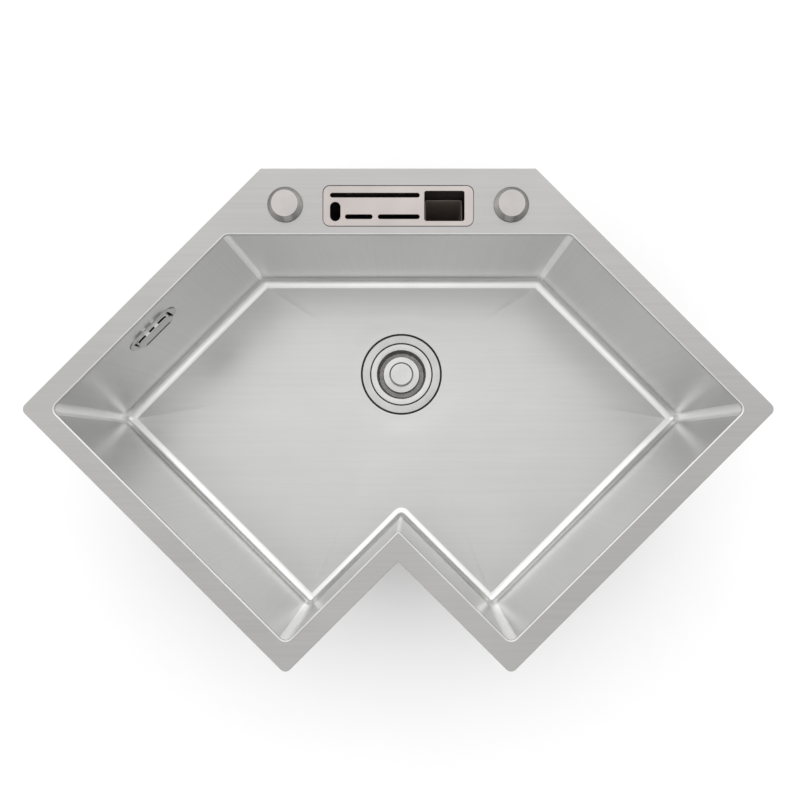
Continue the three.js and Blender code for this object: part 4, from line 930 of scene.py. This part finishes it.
# The cover is one pressing: a frame against the wall and a face that stands off it. The outline
# loses twice the ring's width, and in length also twice 7.3 mm times the width over 3.5, so the face
# is shorter than the frame. It is open in three stretches along the top and at both ends.
def overflowCover():
    low, frameTop = overflow["wallGap"], overflow["wallGap"] + overflow["frame"]
    face = frameTop + overflow["standOff"]
    front, flat = face + overflow["face"], overflow["flat"]
    inner, outer = overflow["rim"], overflow["rim"] - overflow["face"]
    path = [(flat, front), (outer, front), (outer, frameTop), (0, frameTop), (0, low), (inner, low),
            (inner, face), (flat, face)]
    rings = roundedLoop(path, [0, overflow["faceRound"], 0.4, 0.5, 0.2, 0.2, overflow["faceInside"], 0], 5)
    height = overflow["height"]
    shorter = overflow["end"] - overflow["rim"]
    outline = lambda inset: roundedBox(
        overflow["length"] - 2 * inset - 2 * shorter * min(inset / outer, 1), height - 2 * inset,
        height / 2 - inset, steps=20)
    cover = plated([outline], rings)
    top = height / 2 - inner
    bridge, middle, side = overflow["bridge"], overflow["slotMiddle"], overflow["slotSide"]
    gaps = [(-middle / 2, middle / 2), (middle / 2 + bridge, middle / 2 + bridge + side)]
    gaps.append((-gaps[1][1], -gaps[1][0]))
    cutters = [block(gap, (top - 2, top + 3), (frameTop + overflow["slotFrom"], face), 0.05, 0.3)
               for gap in gaps]
    reach = overflow["length"] / 2 - overflow["end"]
    near, far = reach - overflow["endFrom"], reach + overflow["face"] + overflow["crescent"]
    for span in ((-far, -near), (near, far)):
        cutters.append(block(span, (0.3 - top, top - 0.3), (low - 0.5, face), 0.05, overflow["endRound"]))
    mesh = meshOf("overflow_cover_pressed", [carried(cover, onOverflow)])
    for group in (cutters[:3], cutters[3:]):
        mesh = cutBy("overflow_cover_pressed", mesh, [carried(c, onOverflow) for c in group])
    _, outwards, foot = overflowAxes

    def edges(p):  # painted shade along the foot of the face and its lower edge
        off, z = -(p - foot) @ outwards, p[:, 2] - foot[2]
        return (off > frameTop + 0.05) & (z < overflow["step"] - height / 2)

    placed("overflow_cover_pressed", zoned(mesh, edges), "sink",
           [coverSteel, stepShadeSteel], ["overflow_cover"])
    aside = overflow["holeLength"] * overflow["studPlace"]
    studs = [carried(thread(overflow["stud"], -overflow["studLength"], 0.5 - face, overflow["studPitch"],
                            (hand * aside, 0), 24), onOverflow) for hand in (-1, 1)]
    placed("overflow_studs", meshOf("overflow_studs", studs), "sink", [coverSteel],
           ["overflow_cover"])


# A curve through points whose knots are spaced by the square root of the distance between them.
# Each stretch is a cubic whose end slopes follow from the points on both sides.
def throughPoints(points, steps=24):
    padded = np.concatenate([[2 * points[0] - points[1]], points, [2 * points[-1] - points[-2]]])
    gaps = np.sqrt(np.linalg.norm(np.diff(padded, axis=0), axis=1))[:, None]
    slopes = np.diff(padded, axis=0) / gaps
    bends = (padded[2:] - padded[:-2]) / (gaps[:-1] + gaps[1:])
    ends = slopes[:-1] - bends + slopes[1:]
    t = np.linspace(0, 1, steps, endpoint=False)[:, None, None]
    a, b = padded[1:-2], padded[2:-1]
    da, db = ends[:-1] * gaps[1:-1], ends[1:] * gaps[1:-1]
    curve = ((2 * t**3 - 3 * t**2 + 1) * a + (t**3 - 2 * t**2 + t) * da
             + (3 * t**2 - 2 * t**3) * b + (t**3 - t**2) * db)
    return np.concatenate([curve.transpose(1, 0, 2).reshape(-1, 3), points[-1:]])


hose = dict(radius=12, bore=8, pitch=7, bend=62, sag=10, rib=1.6, cuff=22, topGap=3.3, endGap=1.3,
            endRound=0.6, ribRows=10, sides=32)


# The hose's middle, as (way towards the drain, height): straight down, a quarter circle of the
# bend's radius, then a slight sag to the housing.
def hosePath():
    length = drain["spigotLength"]
    top = np.array([*hoseFoot[:2], rimTop - overflow["below"] - overflow["height"] / 2 - hose["topGap"]])
    reach = housingOuter + hose["endGap"]
    end = np.array([drainCentre[0] + reach * math.cos(towardsHose),
                    drainCentre[1] + reach * math.sin(towardsHose), spigotHeight])
    inwards = unit((end - top) * (1, 1, 0))
    run = np.linalg.norm((end - top)[:2])
    bend, sag = hose["bend"], hose["sag"]
    bendTop = spigotHeight + bend
    stops = [(0, top[2]), (0, top[2] - length), (0, (top[2] + bendTop) / 2), (0, bendTop + 4)]
    stops += [(bend * (1 - math.cos(a)), bendTop - bend * math.sin(a)) for a in (math.pi / 6, math.pi / 3)]
    stops += [(bend + 8, spigotHeight - sag / 2), ((run + bend) / 2, spigotHeight - sag),
              (run - 2.5 * length, spigotHeight - sag / 3), (run - length, spigotHeight),
              (run, spigotHeight)]
    return throughPoints(np.array([(*(top + inwards * r)[:2], z) for r, z in stops]))


# A tube along the path. Between its plain cuffs the radius is the hose's less 1.6 mm times
# (0.5 - 0.75 cosine of the ribs), held within 0..1.
def ribbedHose():
    path = hosePath()
    along = np.concatenate([[0], np.cumsum(np.linalg.norm(np.diff(path, axis=0), axis=1))])
    length, cuff, edge = along[-1], hose["cuff"], hose["endRound"]
    ribs = round((length - 2 * cuff) / hose["pitch"])
    stops = np.concatenate([[0, edge], np.linspace(cuff, length - cuff, ribs * hose["ribRows"] + 1),
                            [length - edge, length]])
    wave = np.clip(0.5 + 0.75 * np.cos((stops - cuff) / (length - 2 * cuff) * ribs * 2 * math.pi), 0, 1)
    radius = hose["radius"] - hose["rib"] * (1 - wave)
    radius[0] = radius[-1] = hose["radius"] - edge
    stops = np.concatenate([stops, stops[::-1]])
    inside = np.where((stops > cuff) & (stops < length - cuff), hose["bore"],
                      drain["spigot"] + drain["fit"])
    radius = np.concatenate([radius, inside[len(radius):]])
    centre, ahead, behind = (np.stack([np.interp(stops + shift, along, path[:, i]) for i in range(3)], 1)
                             for shift in (0, 0.5, -0.5))
    tangent = unit(ahead - behind)
    across = unit(np.cross((0, 0, 1), path[-1] - path[-2]))
    upwards = unit(np.cross(across, tangent))
    angle = np.arange(hose["sides"]) * 2 * math.pi / hose["sides"]
    points = (centre[:, None] + radius[:, None, None] * (np.sin(angle)[None, :, None] * upwards[:, None]
              + np.cos(angle)[None, :, None] * across))
    shell = (points.reshape(-1, 3), [gridFaces(len(stops), hose["sides"], True, True)])
    placed("hose_ribbed", meshOf("hose_ribbed", [shell], sharp=50), "sink",
           [greyPlastic], ["overflow_hose"])


overflowCover()
ribbedHose()
softened("overflow_gasket", "sink", rubber, 0.4)
softened("overflow_housing", "sink", blackPlastic, 0.8, 3)
for number in (1, 2):
    softened(f"overflow_nut_{number}", "sink", zinc, 0.4)
for end in ("top", "bottom"):
    softened(f"hose_clamp_{end}", "sink", zinc, 0.3)
print("overflow done")

# Covers over the two tap holes.

cover = dict(radius=23.7, top=17.9, height=4.6, stud=5, studLow=-26, pitch=1.25, wall=2.2, fit=0.3,
             sealLap=2, sealBack=2.6, sealHeight=2, washerLap=6, washerHeight=2)


# A pressed cap turned about its tap hole: a satin flat top and a polished bevel that runs straight
# from the top's radius out to the deck, on a threaded stud. The bevel's steel is darkened as a painted
# reflection.
def tapCover(hand, spot):
    base, high = rimTop + plan["seal"], rimTop + plan["seal"] + cover["height"]
    inner, under, skirt = cover["radius"] - cover["wall"], rimTop + cover["sealHeight"], rimTop + 0.2
    core, coreLow = cover["stud"] - 0.4, cover["studLow"] + 2
    cap = turned([(0, coreLow), (core, coreLow), (core, under), (inner, under), (inner, skirt),
                  (cover["radius"], skirt), (cover["radius"], base + 0.3), (cover["top"], high),
                  (0, high)], [0, 0.4, 0.4, 0.3, 0.2, 0.2, 0.5, 0.7, 0], spot, 128, 5)
    stud = thread(cover["stud"], cover["studLow"] + 1, base, cover["pitch"], spot, 48)
    mesh = meshOf(f"tap_cover_{hand}_turned", [cap, stud])
    flat = lambda p: (p[:, 2] > high - 0.05) & (fromAxis(p, spot) < cover["top"] - 0.4)
    placed(f"tap_cover_{hand}_turned", zoned(mesh, flat), "sink",
           [bevelReflectionSteel, capSteel[hand]], [f"tap_cover_{hand}"])


for hand, spot in zip(("left", "right"), tapPlaces):
    tapCover(hand, spot)
    seal = ring(rim["tapHole"] - cover["sealLap"], cover["radius"] - cover["sealBack"], rimTop,
                rimTop + cover["sealHeight"], spot, 0.4)
    washer = ring(cover["stud"] + cover["fit"], rim["tapHole"] + cover["washerLap"],
                  rimLow - cover["washerHeight"], rimLow, spot, 0.5)
    turnedPiece(f"tap_cover_seal_{hand}", "sink", rubber, [seal])
    turnedPiece(f"tap_cover_washer_{hand}", "sink", rubber, [washer])
    softened(f"tap_cover_nut_{hand}", "sink", greyPlastic, 0.8, 3)
print("covers done")

# Knife and tool holder, measured from the middle of its plate.

slots = dict(left=-91.8, right=28.8, row=14.5, height=6.2, shortLeft=-71.6, shortRight=-34.6, gap=7.2,
             scissorWidth=14, scissorHeight=25.8, scissorY=-7.5, bayX=62.1, bayWidth=54, bayHeight=40.5,
             bayRound=3, plateLow=0.6, tabs=(-66.8, 3.8), tabFace=21.2, tabSheet=0.8, tabWidth=10,
             tabDrop=9)


# A plate less three slots, an oval hole and a bay with round edges, on four tabs that hold the
# knife box. Each hole is a rounded box between its left and right.
def holderPlate():
    x, y = holderCentre

    def slot(left, right, middle, height):
        width = right - left
        return boxBoundary(width, height, height / 2 if width > height else width / 2,
                           x + (left + right) / 2, y + middle, hole=True, steps=10)

    low, high = rimLow + slots["plateLow"], rimTop
    outer = edgeRings(low, high, 0.6, 0.3)
    holes = edgeRings(low, high, 0.35, 0.15, 0.3)
    openings = [slot(slots["left"], slots["right"], slots["row"], slots["height"]),
                slot(slots["shortLeft"], slots["shortRight"], -slots["row"], slots["height"]),
                slot(slots["shortRight"] + slots["gap"], slots["right"], -slots["row"], slots["height"]),
                slot(slots["left"], slots["left"] + slots["scissorWidth"], slots["scissorY"],
                     slots["scissorHeight"]),
                boxBoundary(slots["bayWidth"], slots["bayHeight"], slots["bayRound"], x + slots["bayX"], y,
                            hole=True)]
    plate = plated([(boxBoundary(holder["length"], holder["width"], holder["radius"], x, y), outer)]
                   + [(opening, holes) for opening in openings], outer)
    tabs, half = [], slots["tabWidth"] / 2
    for place in slots["tabs"]:
        for side in (-1, 1):
            span = sorted((y + side * slots["tabFace"], y + side * (slots["tabFace"] - slots["tabSheet"])))
            tabs.append(block((x + place - half, x + place + half), span,
                              (low - slots["tabDrop"], low + 0.5), 0.2, 0.2))
    placed("holder_plate_cut", meshOf("holder_plate_cut", [plate, *tabs]), "knife_holder",
           [plateSilver], ["holder_plate"])


holderPlate()
softened("knife_box", "knife_holder", boxAbs, 0.5, 3)
softened("tool_cup", "tool_cup", cupLitAbs, 0.5, 3)
softened("holder_ledge", "sink", pressedSteel, 0.3)
softened("holder_seal", "sink", rubber, 0.15)
print("holder done")

# Below the rim: foam seal, sound pads and worktop clamps.

softened("rim_seal", "sink", foam, 0.3)
for pad in ("left_floor", "right_floor", "back", "left_end", "right_end", "right_back"):
    softened(f"sound_pad_{pad}", "sink", deadener, 0.6)
clamps = dict(fromWall=9, radius=3, pitch=1, shelf=11, drop=46, tail=16, head=5.4, headGap=2.3,
              headHeight=3.7)
clampPlaces = dict(left_back=(leftBack, 0.8), left_end=(leftEnd, 0.5), right_end=(rightEnd, 0.5),
                   right_back=(rightBack, 0.2))
for name, (wall, share) in clampPlaces.items():
    softened(f"clamp_bracket_{name}", "sink", zinc, 0.4)
    softened(f"clamp_nut_{name}", "sink", zinc, 0.4)
    softened(f"clamp_jaw_{name}", f"clamp_jaw_{name}", zinc, 0.5, 3)
    axis = inFrame(np.array([0, clamps["fromWall"], 0]), wallFrame(wall, share, 0))[:2]
    hexagon = lambda inset, at=axis: roundedLoop(
        [(at[0] + (clamps["head"] - inset) * math.cos(k * math.pi / 3),
          at[1] + (clamps["head"] - inset) * math.sin(k * math.pi / 3)) for k in range(6)], 0.4, 3)
    base = rimLow - clamps["shelf"] + clamps["headGap"]
    low = rimLow - clamps["drop"] - clamps["tail"]
    shells = [thread(clamps["radius"], low, base, clamps["pitch"], axis),
              plated([hexagon], edgeRings(base, base + clamps["headHeight"], 0.6, 0.2, 0.3))]
    turnedPiece(f"clamp_screw_{name}", "sink", zinc, shells)
print("underside done")

# The camera looks straight down. Metres, and pixels for the focal length of an 800 pixel picture.

camera = dict(height=0.806, across=0.01985, along=-0.3796, focal=599.1, picture=800, sensor=36,
              shift=(-0.01625, 0.06825))


# The lens is the focal length in pixels times the sensor's 36 mm over 800.
def addCamera():
    data = bpy.data.cameras.new("camera")
    data.sensor_width = camera["sensor"]
    data.lens = camera["focal"] * camera["sensor"] / camera["picture"]
    data.shift_x, data.shift_y = camera["shift"]
    view = bpy.data.objects.new("camera", data)
    view.location = (camera["across"], camera["along"], rimTop * mm + camera["height"])
    bpy.context.scene.collection.objects.link(view)
    bpy.context.scene.camera = view


# The studio: a floor, a white dome and a round soft box in front. Lengths are in metres.

studio = dict(floorHalf=4, floorGap=0.002, horizon=(0.0, 0.4), low=0.65, high=1.17, behind=0.65,
              side=0.1, target=(0, -0.35, 0), softBoxes=[("in front", (0, -1.95, 2.0), 2.0, 5)])
floorLook = dict(light="#f8f8f8", dark="#f5f5f5", rough=(0.7, 0.8), depth=0.1)


# A flat, pale grid of 9 by 9 points, 2 mm below the lowest point.
def addFloor():
    side = np.linspace(-studio["floorHalf"], studio["floorHalf"], 9)
    x, y = np.meshgrid(side, side)
    low = (cadBox[0][2] - studio["floorGap"]) / mm
    points = np.column_stack([x.ravel() / mm, y.ravel() / mm, np.full(x.size, low)])
    mesh = meshOf("floor", [(points, [gridFaces(len(side), len(side), False, False)])])
    material, tree, spot = newMaterial("pale floor")
    cloud = addNode(tree, "TexNoise", {"Vector": spot, "Scale": 3.0}).outputs["Fac"]
    closeMaterial(tree, floorLook, cloud, cloud, cloud)
    mesh.materials.append(material)
    floor = bpy.data.objects.new("floor", mesh)
    bpy.context.scene.collection.objects.link(floor)


# A round soft box whose -Z axis points from its place to its target.
def addLight(name, location, target, size, power):
    data = bpy.data.lights.new(name, "AREA")
    data.shape, data.size, data.energy = "DISK", size, power
    light = bpy.data.objects.new(name, data)
    light.location = location
    light.rotation_euler = (Vector(target) - Vector(location)).to_track_quat("-Z", "Y").to_euler()
    bpy.context.scene.collection.objects.link(light)


# A white dome. Its strength rises from low to high by 3t² - 2t³ of the height, times 1 + behind
# times y - side times x: brighter behind the deck, and a little dimmer to the right.
def addWorld():
    world = bpy.data.worlds.new("studio")
    world.use_nodes = True
    tree = world.node_tree
    tree.nodes.clear()
    ways = addNode(tree, "SeparateXYZ", {0: addNode(tree, "TexCoord").outputs["Generated"]})
    height = addNode(tree, "MapRange", {"Value": ways.outputs["Z"], "From Min": studio["horizon"][0],
                                        "From Max": studio["horizon"][1], "To Min": studio["low"],
                                        "To Max": studio["high"]}, interpolation_type="SMOOTHSTEP")
    behind = addNode(tree, "Math", {0: ways.outputs["Y"], 1: studio["behind"], 2: 1.0},
                     operation="MULTIPLY_ADD")
    aside = addNode(tree, "Math", {0: ways.outputs["X"], 1: -studio["side"], 2: behind.outputs[0]},
                    operation="MULTIPLY_ADD")
    strength = addNode(tree, "Math", {0: height.outputs["Result"], 1: aside.outputs[0]},
                       operation="MULTIPLY")
    glow = addNode(tree, "Background", {"Color": (1, 1, 1, 1), "Strength": strength.outputs[0]})
    addNode(tree, "OutputWorld", {"Surface": glow.outputs["Background"]})
    bpy.context.scene.world = world


addCamera()
addFloor()
addWorld()
for name, spot, size, power in studio["softBoxes"]:
    addLight(f"soft box {name}", spot, studio["target"], size, power)
bpy.context.scene.view_settings.view_transform = "Standard"
